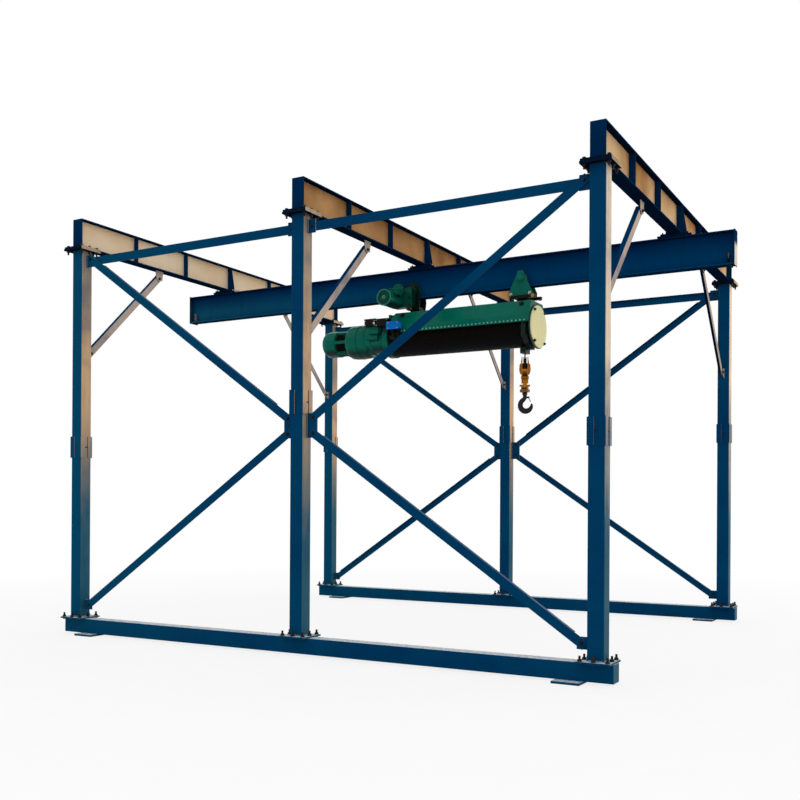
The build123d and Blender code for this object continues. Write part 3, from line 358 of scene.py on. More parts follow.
runway_blue = aged(
    "runway_blue", [(0, 46, 88), (0, 60, 96), (2, 40, 70), PALE_DUST_AND_SKY_SHEEN, BARE_STEEL],
    (0.4, 0.4, 0.35, 0.15), (0.3, 0.5), specular=0.0, painted_sheen=(236, 222, 200),
)

# %% Paints of the hoist and the block
GREEN_DUST, GREEN_BARE = (96, 150, 132), (40, 90, 78)
hoist_green = aged(
    "hoist_green", [(0, 98, 80), (0, 122, 102), (0, 66, 54), GREEN_DUST, GREEN_BARE],
    (0.7, 0.3, 0.25, 0.35), (0.14, 0.3), specular=0.07,
)
box_black = aged(
    "box_black", [(9, 10, 10), (20, 22, 22), (34, 31, 27), (80, 76, 70), (62, 62, 62)],
    (0.5, 0.3, 0.2, 0.4), (0.35, 0.55), specular=0.1,
)
switch_blue = aged(
    "switch_blue", [(0, 104, 192), (8, 126, 212), (0, 66, 124), (110, 160, 200), (100, 150, 190)],
    (0.5, 0.25, 0.25, 0.3), (0.15, 0.3), specular=0.08,
)
block_ochre = aged(
    "block_ochre", [(196, 120, 10), (216, 148, 30), (84, 50, 10), (160, 130, 80), (60, 44, 26)],
    (0.6, 0.8, 0.2, 0.6), (0.3, 0.5), specular=0.12,
)
crosshead_brown = aged(
    "crosshead_brown", [(140, 88, 18), (170, 112, 30), (60, 38, 12), (130, 104, 64), (50, 38, 24)],
    (0.6, 0.6, 0.2, 0.6), (0.3, 0.5), specular=0.15,
)
hook_black = aged(
    "hook_black", [(22, 22, 22), (38, 36, 34), (60, 46, 34), (80, 72, 62), (110, 104, 98)],
    (0.6, 0.4, 0.15, 0.4), (0.35, 0.6), specular=0.2,
)
guide_iron = aged(
    "guide_iron", [(4, 34, 28), (8, 46, 38), (16, 16, 12), (70, 72, 60), (90, 84, 72)],
    (0.6, 0.6, 0.2, 0.4), (0.3, 0.5), specular=0.15,
)

# %% Metals, rope and the blank plate
drum_grease = aged(
    "drum_grease", [(9, 7, 5), (18, 14, 10), (5, 4, 3), (44, 36, 28), (60, 50, 38)],
    (0.7, 0.5, 0.2, 0.3), (0.4, 0.65), specular=0.05,
)
wheel_steel = aged(
    "wheel_steel", [(12, 74, 62), (30, 84, 72), (40, 34, 26), (90, 92, 80), (150, 148, 142)],
    (0.5, 0.5, 0.2, 0.6), (0.3, 0.5),
)
bright_steel = aged(
    "bright_steel", [(196, 194, 188), (168, 166, 160), (110, 92, 70), (150, 142, 130), (220, 220, 216)],
    (0.7, 0.5, 0.3, 0.3), (0.25, 0.45), metal=0.85,
)
black_steel = aged(
    "black_steel", [(10, 12, 15), (26, 27, 29), (48, 36, 26), (80, 76, 68), (100, 94, 86)],
    (0.7, 0.4, 0.2, 0.4), (0.35, 0.55), specular=0.15,
)
rope_brown = aged(
    "rope_brown", [(40, 30, 20), (58, 44, 28), (16, 12, 8), (70, 60, 46), (96, 84, 66)],
    (0.7, 0.5, 0.1, 0.3), (0.4, 0.6), specular=0.15,
)
bronze = aged(
    "bronze", [(178, 128, 62), (150, 104, 52), (70, 50, 28), (130, 110, 80), (206, 164, 96)],
    (0.6, 0.5, 0.2, 0.5), (0.25, 0.45), metal=0.8,
)
label_white = aged(
    "label_white", [(226, 226, 220), (204, 204, 196), (150, 140, 124), (180, 172, 156), (160, 158, 150)],
    (0.6, 0.4, 0.2, 0.3), (0.35, 0.5),
)
# Pale mint for the rivet heads: a painted glint on green paint.
rivet_green_glint = aged(
    "rivet_green_glint", [(126, 184, 168), (150, 200, 186), (40, 100, 86), (140, 176, 164), (180, 200, 192)],
    (0.6, 0.4, 0.2, 0.3), (0.2, 0.4), specular=0.2,
)
print("finishes", len(bpy.data.materials))

# %% [markdown]
# ## Finishes that change over a piece
# Some pieces have two colours, or a painted sunlit sheen or painted shade on one part only. A second
# material on some of the faces would need those faces picked out, so a mask from Object coordinates
# does it: the drum's end is a pale disc, a painted sunlit sheen, in a green ring, and the height or the
# side of the gantry sets the rest.


# %% Drum end, a pale disc, a painted sunlit sheen, in a green ring
RIM_FACE_X = 1.7915


def finish_parts(material):
    """A finish's tree, its ageing group, and the shaded place, whole and split into X, Y and Z."""
    tree = material.node_tree
    group = next(node for node in tree.nodes if node.type == "GROUP")
    place = object_place(tree)
    return tree, group, place, split(tree, place)


def repaint(tree, tone):
    tree.links.new(tone, tree.nodes["Principled BSDF"].inputs["Base Color"])


# The disc's pale yellow is a painted sunlit sheen on the green cover.
cover_sunlit_sheen = aged(
    "cover_sunlit_sheen", [(228, 222, 160), (238, 233, 186), (176, 166, 108), (206, 196, 156), (96, 100, 74)],
    (0.6, 0.3, 0.2, 0.4), (0.4, 0.6),
)
tree, group, place, spot = finish_parts(cover_sunlit_sheen)
disc = maths(tree, "GREATER_THAN", spot["X"], RIM_FACE_X)
ring_green = mix_colour(tree, noise(tree, place, 9.0, 4.0), srgb(0, 34, 28), srgb(2, 58, 48))
repaint(tree, mix_colour(tree, disc, ring_green, group.outputs["Colour"]))

# %% Cross beams: painted sunlit sheen on the web only, cream at the left end and browner further on
WEB_HALF, WEB_SHEEN = 0.012, 1.8
tree, group, place, spot = finish_parts(beam_blue)
off_web = maths(tree, "PINGPONG", spot["X"], BAY / 2)
on_web = maths(tree, "LESS_THAN", off_web, WEB_HALF)
tree.links.new(times(tree, on_web, WEB_SHEEN), group.inputs["Painted Sheen Amount"])
# Colours of the painted sunlit sheen on the webs.
drift = ramp(tree, noise(tree, place, 1.7, 3.0), 0.3, 0.75)
rise = ramp(tree, spot["Z"], 5.30, 5.66, -0.25, 0.3)
browner = maths(tree, "ADD", drift, rise, clamp=True)
cream = mix_colour(tree, browner, srgb(255, 232, 198), srgb(240, 204, 162))
brown = mix_colour(tree, browner, srgb(204, 156, 104), srgb(146, 102, 62))
tawny = mix_colour(tree, browner, srgb(226, 192, 146), srgb(164, 110, 62))
to_mid = mix_colour(tree, ramp(tree, spot["X"], -3.0, -0.5), cream, brown)
to_right = mix_colour(tree, ramp(tree, spot["X"], 1.0, 3.0), to_mid, tawny)
tree.links.new(to_right, group.inputs["Painted Sheen"])

# %% Runway: painted sunlit sheen on its end plate only, greener to the left, and darker near the top as a painted shade
END_PLATE_X = 4.4
tree, group, _, spot = finish_parts(runway_blue)
on_end = maths(tree, "GREATER_THAN", spot["X"], END_PLATE_X)
tree.links.new(times(tree, on_end, ramp(tree, spot["Z"], 5.10, 5.04)), group.inputs["Painted Sheen Amount"])
length_tone = mix_colour(tree, ramp(tree, spot["X"], -4.2, 0.8), srgb(20, 84, 112), srgb(0, 62, 108))
# Darker towards the top: a painted shade.
shaded_top = ramp(tree, spot["Z"], 4.95, 5.22)
tree.links.new(mix_colour(tree, shaded_top, length_tone, srgb(0, 36, 82)), group.inputs["Paint"])

# %% Knee braces: more painted sunlit sheen on the near side; columns and base: greener to the left, more dust and painted sky sheen low down
tree, group, _, spot = finish_parts(knee_blue)
# More painted sunlit sheen on the near side.
tree.links.new(ramp(tree, spot["Y"], 0.5, -0.5, 0.75, 0.92), group.inputs["Painted Sheen Amount"])

tree, group, _, spot = finish_parts(frame_blue)
length_tone = mix_colour(tree, ramp(tree, spot["X"], -4.2, -1.0), srgb(2, 76, 108), srgb(0, 58, 100))
# More dust and painted sky sheen low down, on the base beams' tops.
tree.links.new(ramp(tree, spot["Z"], 0.3, 1.0, 1.2, 0.4), group.inputs["Dust And Sheen Amount"])
tree.links.new(length_tone, group.inputs["Paint"])

# %% Darker gear case on the trolley motor with a painted shade at its back, black bars on the undriven trolley
gear_green = aged(
    "gear_green", [(0, 88, 72), (0, 106, 90), (0, 56, 46), GREEN_DUST, GREEN_BARE],
    (0.6, 0.4, 0.25, 0.4), (0.18, 0.36), specular=0.08,
)
bar_green = aged(
    "bar_green", [(0, 94, 80), (0, 112, 96), (0, 66, 54), GREEN_DUST, GREEN_BARE],
    (0.6, 0.3, 0.25, 0.35), (0.16, 0.34), specular=0.08,
)
# The gear case turns near black behind its front face: a painted shade. The undriven trolley turns black
# below its plates.
for finish, axis, dark_at, green_at, dark in (
    (gear_green, "Y", -0.19, -0.24, srgb(0, 40, 30)),
    (bar_green, "Z", 4.686, 4.694, srgb(14, 16, 14)),
):
    tree, group, place, spot = finish_parts(finish)
    twice = (dark[0] * 2 + 0.002, dark[1] * 2, dark[2] * 2, 1)
    deep = mix_colour(tree, noise(tree, place, 14.0, 4.0), dark, twice)
    shown = ramp(tree, spot[axis], dark_at, green_at)
    repaint(tree, mix_colour(tree, shown, deep, group.outputs["Colour"]))

# %% Driven trolley in near-black green as a painted shade, and the fan cover in a brighter green as a painted highlight, with a painted shade in its ring of slots
FAN_X, FAN_Z = -0.330, 4.752
# The driven trolley is painted near black: a painted shade on green steel.
trolley_green_in_shade = aged(
    "trolley_green_in_shade", [(5, 20, 17), (8, 34, 28), (10, 10, 8), (60, 66, 58), (70, 72, 64)],
    (0.6, 0.5, 0.2, 0.4), (0.3, 0.5), specular=0.1,
)
# The fan cover's brighter green is a painted highlight.
fan_green_highlit = aged(
    "fan_green_highlit", [(6, 124, 100), (24, 146, 120), (0, 84, 68), GREEN_DUST, (60, 120, 104)],
    (0.6, 0.2, 0.25, 0.35), (0.16, 0.34), specular=0.15,
)
tree, group, place, _ = finish_parts(fan_green_highlit)
from_hub = {"Vector": place, "Location": (-FAN_X, 0, -FAN_Z), "Scale": (1, 0, 1)}
flat = add_node(tree, "ShaderNodeMapping", from_hub).outputs[0]
radius = add_node(tree, "ShaderNodeVectorMath", {0: flat}, operation="LENGTH").outputs["Value"]
# The ring of slots is darkened: a painted shade in the grille.
slot_shade = times(tree, ramp(tree, radius, 0.032, 0.040), ramp(tree, radius, 0.102, 0.096))
repaint(tree, mix_colour(tree, times(tree, slot_shade, 0.85), group.outputs["Colour"], srgb(0, 46, 38)))

# %% [markdown]
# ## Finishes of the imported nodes
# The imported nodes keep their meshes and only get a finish. Most of the frame is one blue and most of
# the hoist one green, so the table names only the nodes that differ.

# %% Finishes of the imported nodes
NODE_FINISH = {
    "cap_plates": plate_dark,
    "runway_beam": runway_blue,
    "runway_hangers": plate_dark,
    "trolley_motor": gear_green,
    "idle_trolley": bar_green,
    "driving_trolley": trolley_green_in_shade,
    "drum_end_cover": cover_sunlit_sheen,
    "control_box": box_black,
    "limit_switch_cover": switch_blue,
    "rope_guide": guide_iron,
    "rope_drum": drum_grease,
    "hook_block": block_ochre,
    "rope_sheave": drum_grease,
    "hook_crosshead": crosshead_brown,
    "load_hook": hook_black,
    "hook_latch": bright_steel,
    "rope_falls": rope_brown,
}
for line in ("left", "mid", "right"):
    NODE_FINISH[f"{line}_cross_beam"] = beam_blue
    NODE_FINISH[f"{line}_knee_braces"] = knee_blue
BODY_FINISH = {"frame": frame_blue, "hoist": hoist_green}
for body, names in frame["record"]["behaviour"]["bodies"].items():
    for name in names:
        mesh = nodes[name].data
        mesh.materials.clear()
        mesh.materials.append(NODE_FINISH.get(name) or BODY_FINISH.get(body, wheel_steel))
print("finishes", len(bpy.data.materials), "named nodes", len(NODE_FINISH))

# %% [markdown]
# ## Piece helpers
# The pieces below are small hardware and turned or bent forms. Four helpers cover nearly all of them:
# a disc raised from a circle, a prism raised from an outline, a line spun about an axis, and a row of
# rings bridged into a tube. The last one turns the bmesh into a piece that rides on a body.


# %% Piece helpers: raised shapes
X_AXIS, Y_AXIS, Z_AXIS = Vector((1, 0, 0)), Vector((0, 1, 0)), Vector((0, 0, 1))


def standing(at, axis):
    """The matrix that stands a shape's own Z along an axis, with its foot at a point."""
    return Matrix.Translation(at) @ Vector(axis).to_track_quat("Z", "Y").to_matrix().to_4x4()


def only(kind, geometry):
    return [item for item in geometry if isinstance(item, kind)]


def ring_edges(verts):
    return list({edge for vert in verts for edge in vert.link_edges})


def raise_disc(bm, sides, radius, z, height, chamfer=0.0):
    """A closed many-sided bar from z up, with a chamfered top edge."""
    made = bmesh.ops.create_circle(
        bm, cap_ends=True, segments=sides, radius=radius, matrix=Matrix.Translation((0, 0, z))
    )
    foot = made["verts"][0].link_faces[0]
    grown = bmesh.ops.extrude_face_region(bm, geom=[foot])["geom"]
    bmesh.ops.translate(bm, verts=only(bmesh.types.BMVert, grown), vec=(0, 0, height))
    if chamfer:
        rim = only(bmesh.types.BMFace, grown)[0].edges[:]
        bmesh.ops.bevel(bm, geom=rim, offset=chamfer, segments=1, profile=0.5, affect="EDGES", material=-1)


def prism(bm, outline, depth, bevel=0.0):
    """A closed prism from an outline of points, pushed along a depth vector, its edges rounded."""
    foot = bm.faces.new([bm.verts.new(point) for point in outline])
    grown = bmesh.ops.extrude_face_region(bm, geom=[foot])["geom"]
    top = only(bmesh.types.BMVert, grown)
    bmesh.ops.translate(bm, verts=top, vec=depth)
    if bevel:
        edges = ring_edges(top + foot.verts[:])
        bmesh.ops.bevel(bm, geom=edges, offset=bevel, segments=2, profile=0.5, affect="EDGES", material=-1)


def slab(bm, low, high, bevel=0.0):
    """A rounded block between two corners."""
    a, b = Vector(low), Vector(high)
    outline = [(a.x, a.y, a.z), (b.x, a.y, a.z), (b.x, b.y, a.z), (a.x, b.y, a.z)]
    prism(bm, outline, (0, 0, b.z - a.z), bevel)


# %% Piece helpers: spun and bridged shapes
def close_ends(bm, first, last):
    for loop in (first, last):
        bmesh.ops.contextual_create(bm, geom=loop)


def lathe(bm, line, centre, axis, steps=48):
    """A line of (along, radius) points, spun all the way round an axis."""
    place = standing(centre, axis)
    verts = [bm.verts.new(place @ Vector((radius, 0, along))) for along, radius in line]
    edges = [bm.edges.new(pair) for pair in zip(verts, verts[1:])]
    bmesh.ops.spin(
        bm, geom=verts + edges, cent=centre, axis=axis, angle=2 * math.pi, steps=steps, use_merge=True
    )


def sweep(bm, section, ring, centre, angle, steps, along=(0, 0, 0)):
    """A closed section swept about an X axis, stepping along it if asked, and closed at both ends."""
    last = bmesh.ops.spin(
        bm, geom=section + ring, cent=centre, axis=X_AXIS, dvec=along,
        angle=angle, steps=steps, use_merge=False,
    )["geom_last"]
    close_ends(bm, ring, only(bmesh.types.BMEdge, last))


def bridge_rings(bm, loops):
    for first, second in zip(loops, loops[1:]):
        bmesh.ops.bridge_loops(bm, edges=first + second)
    close_ends(bm, loops[0], loops[-1])


def tube(bm, rings):
    """Rings of (matrix, sides, half width, half height) bridged one to the next, closed at both ends."""
    loops = []
    for matrix, sides, half_w, half_h in rings:
        verts = bmesh.ops.create_circle(bm, cap_ends=False, segments=sides, radius=1.0)["verts"]
        bmesh.ops.transform(bm, matrix=matrix @ Matrix.Diagonal((half_w, half_h, 1, 1)), verts=verts)
        loops.append(ring_edges(verts))
    bridge_rings(bm, loops)


# %% Piece helpers: copies and finished pieces
MERGE_WITHIN = 1e-5
ON_FRAME, ON_HOIST, ON_BLOCK = ("frame", "frame_paint"), ("hoist", "hoist_paint"), ("block", "block_paint")


def copies(shape, places):
    """One bmesh with a shape repeated at each (point, axis)."""
    whole = bmesh.new()
    for at, axis in places:
        mesh = bpy.data.meshes.new("copy")
        shape.to_mesh(mesh)
        mesh.transform(standing(at, axis))
        whole.from_mesh(mesh)
        bpy.data.meshes.remove(mesh)
    shape.free()
    return whole


def make_piece(name, bm, finish, body, slot, crease=35):
    """Merges doubles, turns the faces outwards, and makes a piece that rides on a body."""
    bmesh.ops.remove_doubles(bm, verts=bm.verts, dist=MERGE_WITHIN)
    bmesh.ops.recalc_face_normals(bm, faces=bm.faces)
    mesh = bpy.data.meshes.new(name)
    bm.to_mesh(mesh)
    bm.free()
    mesh.shade_smooth()
    mesh.set_sharp_from_angle(angle=math.radians(crease))
    mesh.materials.append(finish)
    piece = bpy.data.objects.new(name, mesh)
    scene.collection.objects.link(piece)
    if body:
        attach(piece, body)
    print(name, len(mesh.polygons), "faces")
    return piece


# %% [markdown]
# ## Bolts of the frame
# Everything on the frame is bolted: the columns to the base beams and to the cross beams, the braces
# to their gussets, the knees to their plates, and the runway to its hangers. A bolt is a washer, a
# hexagon with a chamfer and the end of its stud, few enough faces to be repeated over a hundred times.


# %% A bolt, and a set of them
def bolt_shape(across, head, stud=0.0, washer=0.004):
    bm = bmesh.new()
    corner = across / math.sqrt(3)
    raise_disc(bm, 14, 1.2 * corner, 0.0, washer)
    raise_disc(bm, 6, corner, washer, head, chamfer=0.08 * across)
    if stud:
        raise_disc(bm, 8, 0.32 * across, washer + head, stud, chamfer=0.06 * across)
    return bm


def bolt_set(name, places, finish, body, slot, **sizes):
    make_piece(name, copies(bolt_shape(**sizes), places), finish, body, slot)


# %% Bolts under and over the columns
PLATE_BOLT, CAP_BOLT = 0.145, 0.130
BASE_FOOT, BASE_TOP = (corner[2] for corner in node_box("base_plates"))
CAP_FOOT, CAP_TOP = (corner[2] for corner in node_box("cap_plates"))
AROUND = [(dx, dy) for dy in (-1, 0, 1) for dx in (-1, 0, 1) if dx or dy]
studs, stud_heads, caps_on_top, caps_below = [], [], [], []
for x in COLUMNS_X:
    for y in SIDES_Y:
        for dx, dy in AROUND:
            at = (x + dx * PLATE_BOLT, y + dy * PLATE_BOLT)
            studs.append(((*at, BASE_TOP), Z_AXIS))
            if dy:
                stud_heads.append(((*at, BASE_FOOT), -Z_AXIS))
        for dx in (-1, 1):
            for dy in (-1, 0, 1):
                at = (x + dx * CAP_BOLT, y + dy * CAP_BOLT)
                caps_on_top.append(((*at, CAP_TOP), Z_AXIS))
                caps_below.append(((*at, CAP_FOOT), -Z_AXIS))
bolt_set("base_studs", studs, black_steel, *ON_FRAME, across=0.040, head=0.020, stud=0.034)
bolt_set("base_stud_heads", stud_heads, frame_blue, *ON_FRAME, across=0.034, head=0.010, washer=0.003)
bolt_set("cap_bolt_heads", caps_on_top, black_steel, *ON_FRAME, across=0.036, head=0.018)
bolt_set("cap_bolt_nuts", caps_below, black_steel, *ON_FRAME, across=0.036, head=0.018, stud=0.030)

# %% Bolts of braces, struts, knees and hangers
BRACE_FACE_Y = node_box("far_right_upper_brace")[1][1]
GUSSET_FACE_Y = node_box("side_gussets")[1][1]
GUSSET_BACK_Y, STRUT_BACK_Y = 3.064, 3.054
BRACE_ENDS = (
    (3.510, 5.114, STRUT_BACK_Y),
    (3.506, 0.397, GUSSET_BACK_Y),
    (0.185, 2.6325, GUSSET_BACK_Y),
    (0.185, 2.8195, GUSSET_BACK_Y),
)
STRUT_BOLT_X, STRUT_Z = 0.148, node_middle("far_top_struts")[2]
KNEE_ENDS = ((2.908, 3.862), (1.590, 5.165))
KNEE_FACE, KNEE_BACK = 0.006, 0.015
HANGER_BOLT_X, HANGER_BOLT_Y = 0.150, 0.0885
HANGER_FOOT = node_box("runway_hangers")[0][2]
brace_bolts, strut_bolts, knee_bolts, hanger_bolts = [], [], [], []
for side in (-1, 1):
    out, back = Y_AXIS * side, -Y_AXIS * side
    for end in (-1, 1):
        for x, z, inner in BRACE_ENDS:
            brace_bolts.append(((end * x, side * BRACE_FACE_Y, z), out))
            brace_bolts.append(((end * x, side * inner, z), back))
        strut_bolts.append(((end * STRUT_BOLT_X, side * GUSSET_FACE_Y, STRUT_Z), out))
        strut_bolts.append(((end * STRUT_BOLT_X, side * STRUT_BACK_Y, STRUT_Z), back))
    for x in COLUMNS_X:
        for y, z in KNEE_ENDS:
            knee_bolts.append(((x + KNEE_FACE, side * y, z), X_AXIS))
            knee_bolts.append(((x - KNEE_BACK, side * y, z), -X_AXIS))
        for dx in (-HANGER_BOLT_X, HANGER_BOLT_X):
            hanger_bolts.append(((x + dx, side * HANGER_BOLT_Y, CAP_TOP), Z_AXIS))
            hanger_bolts.append(((x + dx, side * HANGER_BOLT_Y, HANGER_FOOT), -Z_AXIS))
bolt_set("brace_bolts", brace_bolts, black_steel, *ON_FRAME, across=0.032, head=0.014, stud=0.010)
bolt_set("strut_bolts", strut_bolts, black_steel, *ON_FRAME, across=0.028, head=0.012, stud=0.008)
bolt_set("knee_bolts", knee_bolts, black_steel, *ON_FRAME, across=0.030, head=0.014, stud=0.010)
bolt_set(
    "hanger_bolts", hanger_bolts, black_steel, *ON_FRAME,
    across=0.018, head=0.010, stud=0.008, washer=0.003,
)

# %% [markdown]
# ## Welds of the frame
# Columns, gussets and knee plates are welded on. A weld bead is a small filled corner, so each one is
# a prism with a bulging outer side, laid in the corner that it fills.


# %% Welds of the frame
BEAD, BULGE = 0.010, 0.66
COLUMN_FLAT = 0.076
PLATE_HALF = 0.006
KNEE_PLATE_Z = (node_box("mid_knee_braces")[0][2], 3.925)
TOP_GUSSET, MID_GUSSET, LOW_GUSSET = (5.010, 5.172), (2.580, 2.872), (0.335, 0.465)


def bead(bm, start, end, wall, floor_way):
    """A fillet in the corner of two plates; wall and floor_way point along them, away from the corner."""
    at, a, b = Vector(start), Vector(wall) * BEAD, Vector(floor_way) * BEAD
    prism(bm, [at, at + a, at + BULGE * (a + b), at + b], Vector(end) - at)


welds = bmesh.new()
for x in COLUMNS_X:
    for y in SIDES_Y:
        for z, way in ((BASE_TOP, Z_AXIS), (CAP_FOOT, -Z_AXIS)):
            for s in (-1, 1):
                wall_x, wall_y = x + s * COLUMN_HALF, y + s * COLUMN_HALF
                bead(welds, (wall_x, y - COLUMN_FLAT, z), (wall_x, y + COLUMN_FLAT, z), way, X_AXIS * s)
                bead(welds, (x - COLUMN_FLAT, wall_y, z), (x + COLUMN_FLAT, wall_y, z), way, Y_AXIS * s)
        side = math.copysign(1, y)
        for s in (-1, 1):
            at = (x + s * PLATE_HALF, side * (ROW_Y - COLUMN_HALF))
            bead(welds, (*at, KNEE_PLATE_Z[0]), (*at, KNEE_PLATE_Z[1]), X_AXIS * s, Y_AXIS * -side)
for y in SIDES_Y:
    for x, ways, spans in (
        (-BAY, (1,), (TOP_GUSSET, LOW_GUSSET)),
        (0.0, (-1, 1), (TOP_GUSSET, MID_GUSSET)),
        (BAY, (-1,), (TOP_GUSSET, LOW_GUSSET)),
    ):
        for way in ways:
            for z0, z1 in spans:
                for s in (-1, 1):
                    at = (x + way * COLUMN_HALF, y + s * PLATE_HALF)
                    bead(welds, (*at, z0), (*at, z1), X_AXIS * way, Y_AXIS * s)
make_piece("weld_beads", welds, frame_blue, *ON_FRAME)

# %% [markdown]
# ### Seams and stops
# Each column is two lengths of tube, and the joint shows as a dark seam between the corner angles: a
# thin strip on each face. The runway ends in small bent plates that stop the trolley, made of two
# slabs each and bolted through the lower flange.

# %% Seams where the columns are spliced
SEAM_Z = {"near": (2.550, 3.005, 2.550), "far": (2.920, 3.005, 2.920)}
SEAM_OUT, SEAM_HALF_W, SEAM_HALF_H = 0.003, 0.025, 0.007
seams = bmesh.new()
for y, heights in zip(SIDES_Y, SEAM_Z.values()):
    for x, z in zip(COLUMNS_X, heights):
        for s in (-1, 1):
            a, b = sorted((s * COLUMN_HALF, s * (COLUMN_HALF + SEAM_OUT)))
            low, high = z - SEAM_HALF_H, z + SEAM_HALF_H
            slab(seams, (x + a, y - SEAM_HALF_W, low), (x + b, y + SEAM_HALF_W, high), 0.001)
            slab(seams, (x - SEAM_HALF_W, y + a, low), (x + SEAM_HALF_W, y + b, high), 0.001)
make_piece("column_seams", seams, black_steel, *ON_FRAME)

# %% Stops at the ends of the runway
STOP_X = (4.330, 4.342, 4.400)
STOP_Y = (0.010, 0.070)
STOP_FOOT_Z, STOP_FOOT_TOP, STOP_TOP = 4.828, 4.838, 4.960
STOP_BOLT_X, STOP_BOLT_Y, FLANGE_UNDER = 4.372, 0.042, 4.810
stops = bmesh.new()
stop_bolts = []
for end in (-1, 1):
    for side in (-1, 1):
        y0, y1 = sorted(side * y for y in STOP_Y)
        x0, x1 = sorted(end * x for x in STOP_X[:2])
        slab(stops, (x0, y0, STOP_FOOT_Z), (x1, y1, STOP_TOP), 0.002)
        x0, x1 = sorted(end * x for x in STOP_X[1:])
        slab(stops, (x0, y0, STOP_FOOT_Z), (x1, y1, STOP_FOOT_TOP), 0.002)
        at = (end * STOP_BOLT_X, side * STOP_BOLT_Y)
        stop_bolts += [((*at, STOP_FOOT_TOP), Z_AXIS), ((*at, FLANGE_UNDER), -Z_AXIS)]
make_piece("runway_stops", stops, plate_dark, *ON_FRAME)
bolt_set("runway_stop_bolts", stop_bolts, black_steel, *ON_FRAME, across=0.024, head=0.012, stud=0.008)

# %% [markdown]
# ## Drum rope and shell
# The hook hangs high in the photograph, so the drum is full: the rope lies on it turn against turn.
# One round section spun about the drum's axis, with a small step along it each time, winds the whole
# layer. The shell above gets its rolled hem, a row of rivets along each skirt in a pale mint that is a
# painted glint, and its round pins.

# %% Rope on the drum
AXIS_Z = node_middle("drum_end_cover")[2]
WOUND_R, ROPE_R, ROPE_PITCH = 0.2600, 0.0105, 0.0220
WIND_X0, TURNS, WIND_STEPS = -0.430, 93, 28
wound = bmesh.new()
place = standing((WIND_X0, 0, AXIS_Z + WOUND_R), Y_AXIS)
section = bmesh.ops.create_circle(wound, cap_ends=False, segments=7, radius=ROPE_R, matrix=place)["verts"]
step_along = X_AXIS * (ROPE_PITCH / WIND_STEPS)
drum_start = (WIND_X0, 0, AXIS_Z)
sweep(wound, section, ring_edges(section), drum_start, 2 * math.pi * TURNS, WIND_STEPS * TURNS, step_along)
make_piece("drum_rope", wound, drum_grease, "drum", "drum_steel", 80)

# %% Shell hem and rivets
SHELL_X = (-0.417, node_box("hoist_shell")[1][0])
HEM_Y, HEM_Z, HEM_HALF = 0.321, 4.288, (0.010, 0.009)
RIVET_STEP, RIVET_INSET = 0.060, 0.03
RIVET_Y, RIVET_Z, RIVET_WAY = 0.3172, 4.305, (0.97, 0.24)
hem = bmesh.new()
rivets = []
rivet_count = int((SHELL_X[1] - SHELL_X[0] - 2 * RIVET_INSET) / RIVET_STEP)
for side in (-1, 1):
    tube(hem, [(standing((x, side * HEM_Y, HEM_Z), X_AXIS), 12, *HEM_HALF) for x in SHELL_X])
    outward = Vector((0, side * RIVET_WAY[0], RIVET_WAY[1])).normalized()
    for k in range(rivet_count + 1):
        rivets.append(((SHELL_X[0] + RIVET_INSET + k * RIVET_STEP, side * RIVET_Y, RIVET_Z), outward))
make_piece("shell_hem", hem, hoist_green, *ON_HOIST)
rivet = bmesh.new()
raise_disc(rivet, 8, 0.012, -0.002, 0.008, chamfer=0.003)
make_piece("shell_rivets", copies(rivet, rivets), rivet_green_glint, *ON_HOIST)

# %% Shell pins
PIN_X = (-0.231, 1.638)
PIN_Y, PIN_Z, PIN_WAY = 0.2268, 4.545, (0.912, 0.410)
PIN_LINE = [(-0.004, 0.0), (-0.004, 0.034), (0.010, 0.034), (0.010, 0.026)]
PIN_LINE += [(0.024, 0.024), (0.028, 0.018), (0.028, 0.0)]
pins = bmesh.new()
for x in PIN_X:
    for side in (-1, 1):
        slope = Vector((0, side * PIN_WAY[0], PIN_WAY[1])).normalized()
        lathe(pins, PIN_LINE, Vector((x, side * PIN_Y, PIN_Z)), slope, 20)
make_piece("shell_pins", pins, black_steel, *ON_HOIST)

# %% Bolts of the drum end
COVER_BOLT_X, COVER_BOLT_R = 1.803, 0.276
clamps = []
for angle in (50, 130, 230, 310):
    a = math.radians(angle)
    clamps.append(((COVER_BOLT_X, COVER_BOLT_R * math.cos(a), AXIS_Z + COVER_BOLT_R * math.sin(a)), X_AXIS))
bolt_set(
    "end_cover_bolts", clamps, black_steel, "hoist", "cover_paint",
    across=0.034, head=0.016, stud=0.010, washer=0.008,
)

# %% [markdown]
# ## Lifting motor and boxes
# Behind the motor's cap the frame is open, and the dark windings show between its ribs. The flanges
# are held by rows of small bolts. The boxes get lids, corner screws and glands, and the larger one a
# small bare plate, left blank.

# %% Lifting motor
MOTOR_Z = node_middle("lifting_motor")[2]
COIL_X, COIL_R, COIL_CROWN = (-1.446, -1.239), (0.149, 0.151), 0.158
COIL_TURNS, COIL_PITCH, COIL_START = 10, 0.020, -1.440
coil = bmesh.new()
coil_line = [(COIL_X[0], COIL_R[0])]
for k in range(COIL_TURNS):
    x = COIL_START + COIL_PITCH * k
    coil_line += [(x, COIL_R[1]), (x + 0.006, COIL_CROWN), (x + 0.012, COIL_CROWN), (x + 0.018, COIL_R[1])]
coil_line += [(COIL_X[1], COIL_R[0]), (COIL_X[0], COIL_R[0])]
lathe(coil, coil_line, (0, 0, MOTOR_Z), X_AXIS, 48)
make_piece("motor_coil", coil, drum_grease, *ON_HOIST)

